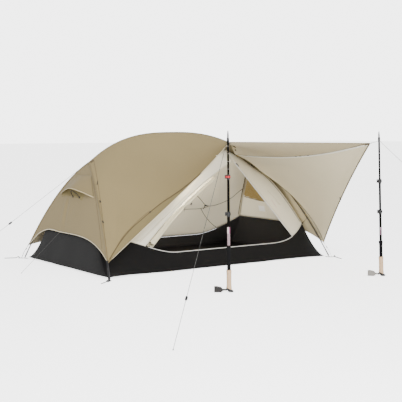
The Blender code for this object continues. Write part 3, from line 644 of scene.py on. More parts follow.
def patch(left: Curve, right: Curve, bottom: Curve, top: Curve, u: float, v: float) -> Point:
    """A surface through four edge curves.

    Args:
        left: Edge at u 0, along v.
        right: Edge at u 1, along v.
        bottom: Edge at v 0, along u.
        top: Edge at v 1, along u.
        u: Place between left and right.
        v: Place between bottom and top.

    Returns:
        The point at (u, v).
    """
    ruled = lerp(left(v), right(v), u) + lerp(bottom(u), top(u), v)
    return ruled - lerp(lerp(left(0), right(0), u), lerp(left(1), right(1), u), v)


HOOD_RIM = Route([
    (-0.946, -0.27, 0.562), (-0.98, -0.12, 0.60), (-1.0, 0.0, 0.618), (-0.98, 0.12, 0.60),
    (-0.946, 0.27, 0.562),
])
SHAPE = TentShape()
LAID: dict[str, Surface] = {}


# Finishes

STITCH_LENGTH = 0.004
STITCH_ROWS = (0.003, 0.0085)
HEM_FOLD = (0.010, 0.013)


class Paint:
    """The node tree of one Principled material, with short ways to add its nodes."""

    def __init__(self, name: str) -> None:
        """Starts a material.

        Args:
            name: The material's name.
        """
        self.material = bpy.data.materials.new(name)
        self.material.use_nodes = True
        self.tree = self.material.node_tree
        self.shader = self.tree.nodes["Principled BSDF"]

    def add(self, kind: str, inputs: dict | None = None, **settings: object) -> bpy.types.Node:
        """Adds a node.

        Args:
            kind: The node's type.
            inputs: A value or an output socket for each input, by name or number.
            settings: Properties of the node.

        Returns:
            The node.
        """
        node = self.tree.nodes.new(kind)
        for name, value in settings.items():
            setattr(node, name, value)
        for name, value in (inputs or {}).items():
            self.give(node.inputs[name], value)
        return node

    def give(self, socket: bpy.types.NodeSocket, value: object) -> None:
        """Sets an input to a value, or links an output socket to it.

        Args:
            socket: The input.
            value: The value or the output socket.
        """
        if isinstance(value, bpy.types.NodeSocket):
            self.tree.links.new(value, socket)
        else:
            socket.default_value = value

    def math(self, operation: str, *values: object, clamp: bool = False) -> bpy.types.NodeSocket:
        """One step of arithmetic on values or sockets."""
        inputs = dict(enumerate(values))
        return self.add("ShaderNodeMath", inputs, operation=operation, use_clamp=clamp).outputs[0]

    def mix(self, share: object, first: object, second: object) -> bpy.types.NodeSocket:
        """A colour between two.

        Args:
            share: How much of the second one shows.
            first: One colour.
            second: The other one.

        Returns:
            The mixed colour.
        """
        node = self.add("ShaderNodeMix", data_type="RGBA")
        for index, value in ((0, share), (6, first), (7, second)):
            self.give(node.inputs[index], value)
        return node.outputs[2]

    def step(self, value: object, low: float, high: float) -> bpy.types.NodeSocket:
        """0 below low, 1 above high and smooth between them."""
        inputs = {"Value": value, "From Min": low, "From Max": high}
        return self.add("ShaderNodeMapRange", inputs, interpolation_type="SMOOTHSTEP").outputs[0]

    def scatter(
        self, coords: object, scale: float, detail: float = 2.0, rough: float = 0.5
    ) -> bpy.types.NodeSocket:
        """Cloudy noise from 0 to 1."""
        inputs = {"Vector": coords, "Scale": scale, "Detail": detail, "Roughness": rough}
        return self.add("ShaderNodeTexNoise", inputs).outputs[0]

    def stretch(
        self, coords: object, scale: Sequence[float], turn: Sequence[float] = (0, 0, 0)
    ) -> bpy.types.NodeSocket:
        """Coordinates scaled and turned."""
        inputs = {"Vector": coords, "Scale": scale, "Rotation": turn}
        return self.add("ShaderNodeMapping", inputs).outputs[0]

    def place(self) -> bpy.types.NodeSocket:
        """Object coordinates."""
        return self.add("ShaderNodeTexCoord").outputs["Object"]

    def laid(self) -> bpy.types.NodeSocket:
        """The piece's own flat coordinates, in metres."""
        return self.add("ShaderNodeUVMap", uv_map="cloth").outputs[0]

    def split(self, vector: object) -> tuple[bpy.types.NodeSocket, ...]:
        """The three parts of a vector."""
        node = self.add("ShaderNodeSeparateXYZ", {0: vector})
        return node.outputs[0], node.outputs[1], node.outputs[2]

    def measured(self, name: str) -> bpy.types.NodeSocket:
        """A number that the piece's mesh carries."""
        return self.add("ShaderNodeAttribute", attribute_name=name).outputs["Fac"]

    def raise_surface(self, height: object, strength: float, distance: float) -> None:
        """Sets the bump of the surface.

        Args:
            height: How high each place is.
            strength: How much it shows.
            distance: Height of 1, in metres.
        """
        inputs = {"Strength": strength, "Distance": distance, "Height": height}
        bump = self.add("ShaderNodeBump", inputs)
        self.give(self.shader.inputs["Normal"], bump.outputs[0])

    def set(self, **values: object) -> None:
        """Sets inputs of the shader, spelled with underscores."""
        for name, value in values.items():
            self.give(self.shader.inputs[name.replace("_", " ")], value)


def linear(colour: Sequence[float], share: float = 1.0) -> tuple[float, float, float, float]:
    """sRGB parts from 0 to 255 as linear ones.

    Args:
        colour: The sRGB colour.
        share: What each linear part is multiplied by.

    Returns:
        The linear colour with full alpha.
    """
    parts = [part / 255 for part in colour]
    made = [part / 12.92 if part <= 0.04045 else ((part + 0.055) / 1.055) ** 2.4 for part in parts]
    return (*[min(part * share, 1.0) for part in made], 1.0)


@dataclass(frozen=True)
class Finish:
    """What a surface is made of."""

    name: str
    colour: Colour

    def material(self) -> bpy.types.Material:
        """The finish's material, made the first time that it is asked for.

        Returns:
            The material.
        """
        made = bpy.data.materials.get(f"look_{self.name}")
        if made is None:
            paint = Paint(f"look_{self.name}")
            self.dress(paint)
            made = paint.material
        return made

    def dress(self, paint: Paint) -> None:
        """Adds the finish's nodes.

        Args:
            paint: The material's node tree.
        """
        raise NotImplementedError


@dataclass(frozen=True)
class Ripstop(Finish):
    """Coated woven cloth with a fine grid of thicker threads, sewn hems and stitches."""

    marked: Colour = (0, 0, 0)
    grid: float = 0.006
    roughness: float = 0.62
    gloss: float = 0.3
    variation: float = 0.05
    stitched: float = 0.35
    sheen: float = 0.12

    def dress(self, paint: Paint) -> None:
        """Adds the cloth's nodes.

        Args:
            paint: The material's node tree.
        """
        laid = paint.laid()
        x, y, _ = paint.split(laid)
        broad = paint.scatter(laid, 2.2, 3.0)
        fine = paint.scatter(laid, 260.0, 2.0)
        crinkle = paint.scatter(paint.stretch(laid, (1.0, 2.6, 1.0)), 34.0, 4.0, 0.6)
        shade = paint.step(paint.math("ADD", broad, paint.math("MULTIPLY", crinkle, 0.25)), 0.35, 0.9)
        low, high = 1 - self.variation, 1 + 0.6 * self.variation
        colour = paint.mix(shade, linear(self.colour, low), linear(self.colour, high))
        # The marked colour goes where the piece's mark is: painted shade on the awning's roof underside and
        # on the tub's floor, the end walls' netting painted dark as the shade seen through it, the fly's door
        # band beyond its zip and the inner front left panel away from the door.
        if self.marked != (0, 0, 0):
            colour = paint.mix(paint.measured("mark"), colour, linear(self.marked))
        threads = []
        for part in (x, y):
            gap = paint.math("PINGPONG", part, self.grid / 2)
            threads.append(paint.math("SUBTRACT", 1.0, paint.step(gap, 0.0001, 0.0006)))
        thread = paint.math("MAXIMUM", *threads)
        colour = paint.mix(paint.math("MULTIPLY", thread, 0.25), colour, linear(self.colour, 1.12))
        hem = paint.measured("hem")
        folded = paint.math("SUBTRACT", 1.0, paint.step(hem, *HEM_FOLD))
        stitches = paint.math("DIVIDE", paint.measured("run"), STITCH_LENGTH)
        dash = paint.math("LESS_THAN", paint.math("FRACT", stitches), 0.65)
        rows = [paint.math("COMPARE", hem, at, 0.0007) for at in STITCH_ROWS]
        stitch = paint.math("MULTIPLY", paint.math("MAXIMUM", *rows), dash)
        colour = paint.mix(paint.math("MULTIPLY", folded, 0.35), colour, linear(self.colour, 0.72))
        colour = paint.mix(paint.math("MULTIPLY", stitch, self.stitched), colour, linear(self.colour, 0.4))
        rough = paint.math("ADD", self.roughness - 0.05, paint.math("MULTIPLY", fine, 0.12))
        paint.set(Base_Color=colour, Roughness=rough, Specular_IOR_Level=self.gloss, Sheen_Weight=self.sheen)
        height = paint.math("ADD", paint.math("MULTIPLY", fine, 0.25), paint.math("MULTIPLY", crinkle, 0.9))
        height = paint.math("ADD", height, paint.math("MULTIPLY", thread, 0.3))
        height = paint.math("ADD", height, paint.math("MULTIPLY", folded, 0.6))
        height = paint.math("SUBTRACT", height, paint.math("MULTIPLY", stitch, 0.8))
        paint.raise_surface(height, 0.35, 0.0012)


@dataclass(frozen=True)
class Netting(Finish):
    """Fine knitted netting: pale threads, with the small holes between them painted dark as the shade behind
    them.
    """

    hole: Colour = (60, 50, 30)
    pitch: float = 0.0016

    def dress(self, paint: Paint) -> None:
        """Adds the netting's nodes.

        Args:
            paint: The material's node tree.
        """
        laid = paint.laid()
        inputs = {"Vector": laid, "Scale": 1 / self.pitch, "Randomness": 0.12}
        cell = paint.add("ShaderNodeTexVoronoi", inputs, feature="DISTANCE_TO_EDGE").outputs["Distance"]
        thread = paint.math("SUBTRACT", 1.0, paint.step(cell, 0.08, 0.22))
        cloud = paint.scatter(laid, 9.0, 3.0)
        colour = paint.mix(cloud, linear(self.colour, 0.9), linear(self.colour, 1.08))
        holes = paint.math("MULTIPLY", paint.math("SUBTRACT", 1.0, thread), 0.45)
        colour = paint.mix(holes, colour, linear(self.hole))
        paint.set(Base_Color=colour, Roughness=0.85, Specular_IOR_Level=0.15)
        paint.raise_surface(thread, 0.3, 0.0006)


@dataclass(frozen=True)
class Webbing(Finish):
    """Woven tape: ribs across its width and raised edges."""

    rib: float = 0.0022
    roughness: float = 0.8

    def dress(self, paint: Paint) -> None:
        """Adds the tape's nodes.

        Args:
            paint: The material's node tree.
        """
        laid = paint.laid()
        x, y, _ = paint.split(laid)
        rib = paint.math("PINGPONG", x, self.rib / 2)
        rib = paint.step(rib, 0.0, self.rib / 2)
        column = paint.step(paint.math("PINGPONG", y, 0.0007), 0.0, 0.0007)
        weave = paint.math("MULTIPLY", rib, column)
        cloud = paint.scatter(laid, 60.0, 3.0)
        tone = paint.math("ADD", paint.math("MULTIPLY", weave, 0.6), paint.math("MULTIPLY", cloud, 0.4))
        colour = paint.mix(tone, linear(self.colour, 0.75), linear(self.colour, 1.2))
        paint.set(Base_Color=colour, Roughness=self.roughness, Specular_IOR_Level=0.25, Sheen_Weight=0.1)
        paint.raise_surface(weave, 0.5, 0.0005)


@dataclass(frozen=True)
class Braid(Finish):
    """Braided cord: two crossing sets of strands, with a paler tracer strand."""

    tracer: Colour = (235, 235, 230)
    strands: int = 8
    pitch: float = 0.006

    def dress(self, paint: Paint) -> None:
        """Adds the braid's nodes.

        Args:
            paint: The material's node tree.
        """
        turn, run, _ = paint.split(paint.laid())
        turns = paint.math("MULTIPLY", turn, float(self.strands))
        steps = paint.math("DIVIDE", run, self.pitch / 2)
        one = paint.math("PINGPONG", paint.math("ADD", turns, steps), 1.0)
        two = paint.math("PINGPONG", paint.math("SUBTRACT", turns, steps), 1.0)
        weave = paint.math("MAXIMUM", one, two)
        colour = paint.mix(weave, linear(self.colour, 0.6), linear(self.colour, 1.05))
        spiral = paint.math("ADD", turn, paint.math("DIVIDE", run, 0.03))
        line = paint.math("LESS_THAN", paint.math("FRACT", spiral), 0.14)
        colour = paint.mix(line, colour, linear(self.tracer))
        paint.set(Base_Color=colour, Roughness=0.7, Specular_IOR_Level=0.3)
        paint.raise_surface(weave, 0.5, 0.0003)


@dataclass(frozen=True)
class Metal(Finish):
    """Drawn or anodised metal with faint scratches along it."""

    roughness: float = 0.34
    metallic: float = 0.85

    def dress(self, paint: Paint) -> None:
        """Adds the metal's nodes.

        Args:
            paint: The material's node tree.
        """
        place = paint.place()
        scratch = paint.scatter(paint.stretch(place, (3.0, 3.0, 0.25)), 220.0, 3.0, 0.6)
        worn = paint.scatter(place, 35.0, 4.0, 0.65)
        spots = paint.step(worn, 0.58, 0.72)
        colour = paint.mix(scratch, linear(self.colour, 0.85), linear(self.colour, 1.12))
        colour = paint.mix(paint.math("MULTIPLY", spots, 0.25), colour, linear(self.colour, 1.6))
        rough = paint.math("ADD", self.roughness - 0.06, paint.math("MULTIPLY", worn, 0.16))
        paint.set(Base_Color=colour, Roughness=rough, Metallic=self.metallic)
        paint.raise_surface(scratch, 0.12, 0.0002)


@dataclass(frozen=True)
class Moulded(Finish):
    """Moulded plastic or rubber with a fine grain."""

    roughness: float = 0.45
    grain: float = 420.0
    depth: float = 0.0002

    def dress(self, paint: Paint) -> None:
        """Adds the plastic's nodes.

        Args:
            paint: The material's node tree.
        """
        place = paint.place()
        grain = paint.scatter(place, self.grain, 2.0)
        cloud = paint.scatter(place, 26.0, 4.0, 0.6)
        colour = paint.mix(cloud, linear(self.colour, 0.82), linear(self.colour, 1.2))
        rough = paint.math("ADD", self.roughness - 0.08, paint.math("MULTIPLY", cloud, 0.2))
        paint.set(Base_Color=colour, Roughness=rough, Specular_IOR_Level=0.45)
        paint.raise_surface(grain, 0.3, self.depth)


@dataclass(frozen=True)
class Cork(Finish):
    """Pressed cork: pale granules with darker pores between them."""

    pore: Colour = (150, 118, 96)

    def dress(self, paint: Paint) -> None:
        """Adds the cork's nodes.

        Args:
            paint: The material's node tree.
        """
        place = paint.place()
        cell = paint.add("ShaderNodeTexVoronoi", {"Vector": place, "Scale": 260.0}).outputs["Distance"]
        tone = paint.scatter(place, 180.0, 4.0, 0.7)
        pores = paint.step(paint.scatter(place, 420.0, 2.0), 0.60, 0.70)
        stains = paint.step(paint.scatter(place, 40.0, 3.0), 0.5, 0.8)
        colour = paint.mix(tone, linear(self.colour, 0.82), linear(self.colour, 1.08))
        colour = paint.mix(paint.math("MULTIPLY", stains, 0.25), colour, linear(self.pore, 1.3))
        colour = paint.mix(paint.math("MULTIPLY", pores, 0.6), colour, linear(self.pore))
        paint.set(Base_Color=colour, Roughness=0.88, Specular_IOR_Level=0.2)
        paint.raise_surface(paint.math("SUBTRACT", cell, paint.math("MULTIPLY", pores, 0.8)), 0.35, 0.0006)


@dataclass(frozen=True)
class Foam(Finish):
    """Closed cell foam with moulded rings round the grip."""

    ring: float = 0.012

    def dress(self, paint: Paint) -> None:
        """Adds the foam's nodes.

        Args:
            paint: The material's node tree.
        """
        _, run, _ = paint.split(paint.laid())
        groove = paint.step(paint.math("PINGPONG", run, self.ring / 2), 0.0, 0.0016)
        cells = paint.scatter(paint.place(), 900.0, 2.0)
        colour = paint.mix(cells, linear(self.colour, 0.7), linear(self.colour, 1.3))
        # The grooves between the rings are painted darker: painted shade in the recesses.
        colour = paint.mix(groove, linear(self.colour, 0.45), colour)
        paint.set(Base_Color=colour, Roughness=0.93, Specular_IOR_Level=0.15)
        height = paint.math("ADD", paint.math("MULTIPLY", groove, 1.0), paint.math("MULTIPLY", cells, 0.15))
        paint.raise_surface(height, 0.6, 0.0008)


@dataclass(frozen=True)
class Shaft(Finish):
    """A lacquered pole tube: fine weave under the lacquer, a printed band and scale rings."""

    print_from: float = 0.0
    print_to: float = 0.0
    printed: Colour = (205, 190, 188)
    accent: Colour = (150, 96, 122)
    roughness: float = 0.3

    def dress(self, paint: Paint) -> None:
        """Adds the tube's nodes.

        Args:
            paint: The material's node tree.
        """
        turn, run, _ = paint.split(paint.laid())
        weave = paint.scatter(paint.stretch(paint.laid(), (30.0, 900.0, 1.0)), 1.0, 1.0)
        worn = paint.scatter(paint.place(), 50.0, 3.0)
        colour = paint.mix(weave, linear(self.colour, 0.8), linear(self.colour, 1.25))
        if self.print_to > self.print_from:
            side = paint.math("FRACT", paint.math("ADD", turn, 0.60))
            change = [lerp(self.print_from, self.print_to, share) for share in (0.66, 0.67)]
            high = paint.step(run, *change)
            left = paint.math(
                "LESS_THAN", paint.math("SUBTRACT", side, paint.math("MULTIPLY", run, 0.35)), 0.12
            )
            block = paint.mix(left, linear(self.accent), linear(self.printed, 1.15))
            lines = paint.math("LESS_THAN", paint.math("FRACT", paint.math("MULTIPLY", side, 9.0)), 0.45)
            long = paint.mix(lines, linear(self.accent, 0.55), linear(self.printed, 0.8))
            pattern = paint.mix(high, long, block)
            above = paint.step(run, self.print_from, self.print_from + 0.012)
            shown = paint.math("MULTIPLY", above, paint.math("LESS_THAN", run, self.print_to))
            colour = paint.mix(shown, colour, pattern)
        rough = paint.math("ADD", self.roughness - 0.05, paint.math("MULTIPLY", worn, 0.15))
        paint.set(Base_Color=colour, Roughness=rough, Specular_IOR_Level=0.04)
        paint.raise_surface(weave, 0.1, 0.0002)


@dataclass(frozen=True)
class Ground(Finish):
    """The pale studio floor, which glows only for the camera."""

    glow: float = 2.7

    def dress(self, paint: Paint) -> None:
        """Adds the floor's nodes.

        Args:
            paint: The material's node tree.
        """
        cloud = paint.scatter(paint.place(), 0.8, 2.0)
        colour = paint.mix(cloud, linear(self.colour, 0.985), linear(self.colour, 1.0))
        seen = paint.add("ShaderNodeLightPath").outputs["Is Camera Ray"]
        paint.set(
            Base_Color=colour, Roughness=0.95, Specular_IOR_Level=0.0, Emission_Color=(1.0, 1.0, 1.0, 1.0)
        )
        paint.set(Emission_Strength=paint.math("MULTIPLY", seen, self.glow))


FRONT = (-4.3, -6.3, 1.1)
BELOW = (-3.0, -5.0, -1.5)


class Looks:
    """The finishes of this tent."""

    fly_outside = Ripstop("fly_outside", (139, 123, 85), marked=(126, 112, 75))
    fly_inside = Ripstop("fly_inside", (190, 176, 140), marked=(170, 152, 112))
    awning_outside = Ripstop("awning_outside", (139, 123, 85))
    # Inner side of the fly; its marked colour is painted shade on the underside of the awning's roof.
    awning_inside = Ripstop("awning_inside", (224, 212, 180), marked=(180, 163, 121))
    fly_tape = Ripstop("fly_tape", (135, 119, 81), stitched=0.6)
    # Thin dark lines along seams and tapes; beside the leg tapes they are painted shadow.
    seam_and_shadow_line = Ripstop("seam_and_shadow_line", (112, 94, 62), stitched=0.0)
    tag_dark = Webbing("tag_dark", (62, 58, 50))
    rose_tape = Webbing("rose_tape", (226, 186, 178))
    dark_tape = Ripstop("dark_tape", (92, 78, 50), stitched=0.2)
    pale_tape = Ripstop("pale_tape", (228, 216, 186), stitched=0.3)
    rim_tape = Ripstop("rim_tape", (208, 190, 148), stitched=0.3)
    fold_tape = Ripstop("fold_tape", (252, 248, 232), stitched=0.0, variation=0.02)
    # Inner tent cloth; its marked colour paints the end walls' netting dark brown as the shaded fly seen
    # through it.
    inner_cloth = Ripstop("inner_cloth", (229, 219, 192), marked=(130, 106, 50), grid=0.008, variation=0.04)
    inner_sheer = Ripstop("inner_sheer", (243, 236, 214), marked=(222, 210, 178), grid=0.008, variation=0.04)
    label_cloth = Ripstop("label_cloth", (250, 246, 236), stitched=0.0, variation=0.02)
    inner_roll = Ripstop("inner_roll", (226, 216, 186), grid=0.008, variation=0.04)
    # The vent's netting under the hood, painted dark olive as the shadow under the hood.
    vent_shadow_net = Netting("vent_shadow_net", (150, 136, 96), hole=(96, 84, 52))
    inner_tape = Ripstop("inner_tape", (92, 80, 54), stitched=0.2)
    floor_outside = Ripstop("floor_outside", (15, 14, 14), roughness=0.6, gloss=0.07, variation=0.12)
    # Inside of the tub: the walls take its colour and the floor its marked colour, painted darker as shade.
    floor_inside = Ripstop(
        "floor_inside", (44, 42, 40), marked=(11, 10, 10),
        roughness=0.6, gloss=0.05, variation=0.12, sheen=0.0,
    )
    black_tape = Webbing("black_tape", (34, 34, 35))
    zip_white = Webbing("zip_white", (222, 220, 214), rib=0.0016)
    strap_outside = Webbing("strap_outside", (52, 50, 49))
    strap_inside = Webbing("strap_inside", (150, 146, 140))
    pole_alloy = Metal("pole_alloy", (70, 70, 72), roughness=0.4, metallic=0.5)
    peg_alloy = Metal("peg_alloy", (48, 48, 50), roughness=0.45, metallic=0.3)
    steel = Metal("steel", (150, 150, 152), roughness=0.3)
    black_plastic = Moulded("black_plastic", (27, 27, 28))
    red_plastic = Moulded("red_plastic", (186, 30, 34))
    line = Braid("line_braid", (74, 74, 72), tracer=(116, 116, 112))
    cork = Cork("cork", (210, 179, 144))
    foam = Foam("foam", (17, 17, 18))
    pale_print = Moulded("pale_print", (205, 200, 196))
    shaft_one = Shaft("shaft_one", (7, 5, 3), roughness=0.55)
    shaft_two = Shaft("shaft_two", (6, 6, 6), roughness=0.55)
    print_one = Shaft("print_one", (7, 5, 3), roughness=0.55, print_from=0.305, print_to=0.432)
    print_two = Shaft(
        "print_two", (6, 6, 6), roughness=0.55, print_from=0.30, print_to=0.36, printed=(120, 120, 122)
    )
    ground = Ground("studio_floor", (252, 252, 252))


# Making pieces

HEM_STEP = 0.004
SHORTEST_HEM = 0.05


def settle(
    piece: bpy.types.Object, body: str, replaces: Sequence[str] = ()
) -> bpy.types.Object:
    """Gives a finished piece to the body that it rides on.

    Args:
        piece: The piece.
        body: Name of the body.
        replaces: Nodes of the model that it stands for.

    Returns:
        The piece.
    """
    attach(piece, body)
    if replaces:
        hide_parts(*replaces)
    LOG.info("%s rides on %s", piece.name, body)
    return piece


def new_object(
    name: str, shape: bmesh.types.BMesh, finishes: Sequence[Finish], sharp: float = 38.0
) -> bpy.types.Object:
    """A mesh object from a bmesh, which this frees.

    Args:
        name: Name of the piece.
        shape: Its shape, in place.
        finishes: Its finishes, in the order of its material slots.
        sharp: Edges that bend more than this many degrees stay sharp.

    Returns:
        The object.
    """
    mesh = bpy.data.meshes.new(name)
    shape.to_mesh(mesh)
    shape.free()
    mesh.shade_smooth()
    mesh.set_sharp_from_angle(angle=math.radians(sharp))
    for finish in finishes:
        mesh.materials.append(finish.material())
    piece = bpy.data.objects.new(name, mesh)
    bpy.context.scene.collection.objects.link(piece)
    return piece


def framed(place: Sequence[float], along: Sequence[float], outside: Sequence[float]) -> Matrix:
    """A frame at a place.

    Args:
        place: Its origin.
        along: Direction of its X.
        outside: About the direction of its Z.

    Returns:
        The frame.
    """
    x = unit(along)
    y = unit(np.cross(np.array(outside, float), x))
    made = Matrix((x, y, np.cross(x, y))).transposed().to_4x4()
    made.translation = Vector(place)
    return made


def tube(
    name: str, points: Sequence[Sequence[float]],
    radii: float | Sequence[float], finish: Finish, sides: int = 12
) -> bpy.types.Object:
    """A closed round tube along points: a grid that is wrapped round them.

    Args:
        name: Name of the piece.
        points: The points that it follows.
        radii: Its radius, or one for each point.
        finish: Its finish.
        sides: Number of its sides.

    Returns:
        The piece.
    """
    points = np.array(points, float)
    radii = np.broadcast_to(np.array(radii, float), (len(points),))
    runs = measured_along(points)
    tangents = [unit(part) for part in np.gradient(points, axis=0)]
    side = unit(np.cross(tangents[0], vec(0.31, 0.17, 0.94)))
    frames = []
    for tangent in tangents:
        side = unit(side - tangent * (side @ tangent))
        frames.append((side, np.cross(tangent, side)))
    shape = bmesh.new()
    bmesh.ops.create_grid(shape, x_segments=len(points) - 1, y_segments=sides, size=0.5)
    laid = shape.loops.layers.uv.new("cloth")
    for vertex in shape.verts:
        i, j = round((vertex.co.x + 0.5) * (len(points) - 1)), round((vertex.co.y + 0.5) * sides)
        turn = math.tau * j / sides
        first, second = frames[i]
        vertex.co = Vector(points[i] + radii[i] * (first * math.cos(turn) + second * math.sin(turn)))
        for loop in vertex.link_loops:
            loop[laid].uv = (j / sides, runs[i])
    bmesh.ops.remove_doubles(shape, verts=shape.verts, dist=0.00002)
    bmesh.ops.holes_fill(shape, edges=[edge for edge in shape.edges if edge.is_boundary])
    bmesh.ops.recalc_face_normals(shape, faces=shape.faces)
    return new_object(name, shape, [finish])


def rounded(profile: Sequence[Sequence[float]], radius: float) -> list[tuple[float, float]]:
    """A profile whose corners are turned into short curves.

    Args:
        profile: (radius, height) points.
        radius: How far each curve reaches from its corner.

    Returns:
        The finer profile.
    """
    points = [np.array(point, float) for point in profile]
    made = [points[0]]
    for before, corner, after in zip(points, points[1:], points[2:]):
        ends = []
        for other in (before, after):
            reach = min(radius, 0.45 * float(np.linalg.norm(other - corner)))
            ends.append(corner + unit(other - corner) * reach)
        made += [ends[0], 0.25 * ends[0] + 0.5 * corner + 0.25 * ends[1], ends[1]]
    made.append(points[-1])
    return [tuple(point) for point in made]


def spun(
    name: str,
    profile: Sequence[Sequence[float]],
    place: Matrix,
    finishes: Sequence[Finish],
    bands: Sequence[tuple[float, float]] = (),
    steps: int = 36,
) -> bpy.types.Object:
    """A turned piece.

    Args:
        name: Name of the piece.
        profile: (radius, height) points, from axis to axis or round a closed ring.
        place: Where its axis stands.
        finishes: Its finish, then one for each band.
        bands: Height ranges that take a finish of their own.
        steps: Number of its sides.

    Returns:
        The piece.
    """
    shape = bmesh.new()
    laid = shape.loops.layers.uv.new("cloth")
    verts = [shape.verts.new((radius, 0.0, height)) for radius, height in profile]
    pairs = list(zip(verts, verts[1:]))
    if profile[0][0] > 0:
        pairs.append((verts[-1], verts[0]))
    edges = [shape.edges.new(pair) for pair in pairs]
    bmesh.ops.spin(
        shape, geom=verts + edges, cent=(0, 0, 0), axis=(0, 0, 1),
        angle=math.tau, steps=steps, use_merge=True
    )
    bmesh.ops.remove_doubles(shape, verts=shape.verts, dist=1e-6)
    bmesh.ops.recalc_face_normals(shape, faces=shape.faces)
    for face in shape.faces:
        centre = face.calc_center_median()
        middle = math.atan2(centre.y, centre.x)
        for slot, (low, high) in enumerate(bands, 1):
            if low <= centre.z <= high:
                face.material_index = slot
        for loop in face.loops:
            spot = loop.vert.co
            away = math.atan2(spot.y, spot.x) - middle if spot.xy.length > 1e-6 else 0.0
            turn = middle + (away + math.pi) % math.tau - math.pi
            loop[laid].uv = (turn / math.tau, spot.z)
    bmesh.ops.transform(shape, matrix=place, verts=shape.verts)
    return new_object(name, shape, finishes, 30.0)


def block(
    name: str, frame: Matrix, size: Sequence[float], finish: Finish, edge: float = 0.0012, taper: float = 1.0
) -> bpy.types.Object:
    """A small moulded or sewn block with rounded edges.

    Args:
        name: Name of the piece.
        frame: Its middle and directions.
        size: Its sides along X, Y and Z.
        finish: Its finish.
        edge: Radius of its edges.
        taper: Its width at the far end of X, as a share of the width at the near end.

    Returns:
        The piece.
    """
    shape = bmesh.new()
    bmesh.ops.create_cube(shape, size=1.0)
    for vertex in shape.verts:
        if vertex.co.x > 0:
            vertex.co.y *= taper
    bmesh.ops.scale(shape, verts=shape.verts, vec=size)
    edge = min(edge, 0.45 * min(size))
    bmesh.ops.bevel(
        shape, geom=shape.edges[:], offset=edge, affect="EDGES", segments=3, profile=0.5, material=-1
    )
    laid = shape.loops.layers.uv.new("cloth")
    for face in shape.faces:
        for loop in face.loops:
            loop[laid].uv = (loop.vert.co.x, loop.vert.co.y)
    bmesh.ops.transform(shape, matrix=frame, verts=shape.verts)
    return new_object(name, shape, [finish])


def refined(name: str, node: bpy.types.Object, finish: Finish, edge: float = 0.0006) -> bpy.types.Object:
    """A copy of a node's mesh with its corners joined and its edges rounded.

    Args:
        name: Name of the piece.
        node: The node.
        finish: Its finish.
        edge: Radius of its edges.

    Returns:
        The piece.
    """
    shape = bmesh.new()
    shape.from_mesh(node.data)
    bmesh.ops.remove_doubles(shape, verts=shape.verts, dist=0.00001)
    bmesh.ops.dissolve_limit(shape, angle_limit=math.radians(1.0), verts=shape.verts, edges=shape.edges)
    laid = shape.loops.layers.uv.new("cloth")
    for face in shape.faces:
        for loop in face.loops:
            loop[laid].uv = (loop.vert.co.x, loop.vert.co.y)
    piece = new_object(name, shape, [finish], 35.0)
    soften = piece.modifiers.new("Edges", "BEVEL")
    soften.width = edge
    soften.segments = 2
    soften.limit_method = "ANGLE"
    soften.angle_limit = math.radians(38)
    soften.harden_normals = True
    return piece


def seam(
    name: str,
    curve: Curve,
    outside: Curve,
    width: float,
    finish: Finish,
    lift: float = 0.0012,
    crown: float = 0.0008,
    count: int = 60,
) -> bpy.types.Object:
    """A narrow tape along a curve on a cloth.

    Args:
        name: Name of the piece.
        curve: Its middle line.
        outside: Direction away from the cloth.
        width: Its width.
        finish: Its finish.
        lift: Its height over the cloth.
        crown: Height of the ridge along its middle.
        count: Number of steps along it.

    Returns:
        The piece.
    """

    def side(share: float) -> Point:
        """The direction across the tape."""
        low, high = max(share - 0.01, 0.0), min(share + 0.01, 1.0)
        return unit(np.cross(unit(curve(high) - curve(low)), outside(share)))

    return Tape(name, curve, flat_side(side), side, outside, width, finish, lift, crown, count).build()


def path_on(surface: Surface, stations: Sequence[tuple[float, float]]) -> Curve:
    """A line over a cloth through places given as (u, v)."""
    route = Route([(u, v, 0.0) for u, v in stations])
    return lambda share: surface(*route(share)[:2])


def facing(surface: Surface, stations: Sequence[tuple[float, float]], towards: Sequence[float]) -> Curve:
    """The direction square to the cloth along a line, on the side that faces a point.

    Args:
        surface: The cloth's surface.
        stations: Places of the line as (u, v).
        towards: The point that it faces.

    Returns:
        A function of the share along the line.
    """
    route = Route([(u, v, 0.0) for u, v in stations])

    def direction(share: float) -> Point:
        """The direction at one place.

        Args:
            share: Share of the way along, from 0 to 1.

        Returns:
            The direction.
        """
        u, v = route(share)[:2]
        here = surface(u, v)
        square = np.cross(surface(u + 0.01, v) - here, surface(u, v + 0.01) - here)
        return unit(square * math.copysign(1.0, square @ (np.array(towards, float) - here)))

    return direction


@dataclass(frozen=True)
class Crease:
    """A fold that runs straight from start to end and fades out at both."""

    start: tuple[float, float, float]
    end: tuple[float, float, float]
    width: float
    depth: float

    def lift(self, points: Point) -> Point:
        """How far the fold lifts each point.

        Args:
            points: Points, one in each row.

        Returns:
            A height for each.
        """
        start, run = np.array(self.start), np.array(self.end) - np.array(self.start)
        share = np.clip((points - start) @ run / (run @ run), 0.0, 1.0)
        away = np.linalg.norm(points - start - share[:, None] * run, axis=1)
        fade = np.sin(np.pi * np.clip(share, 0.03, 0.97)) ** 0.6
        return self.depth * np.exp(-((away / self.width) ** 2)) * fade


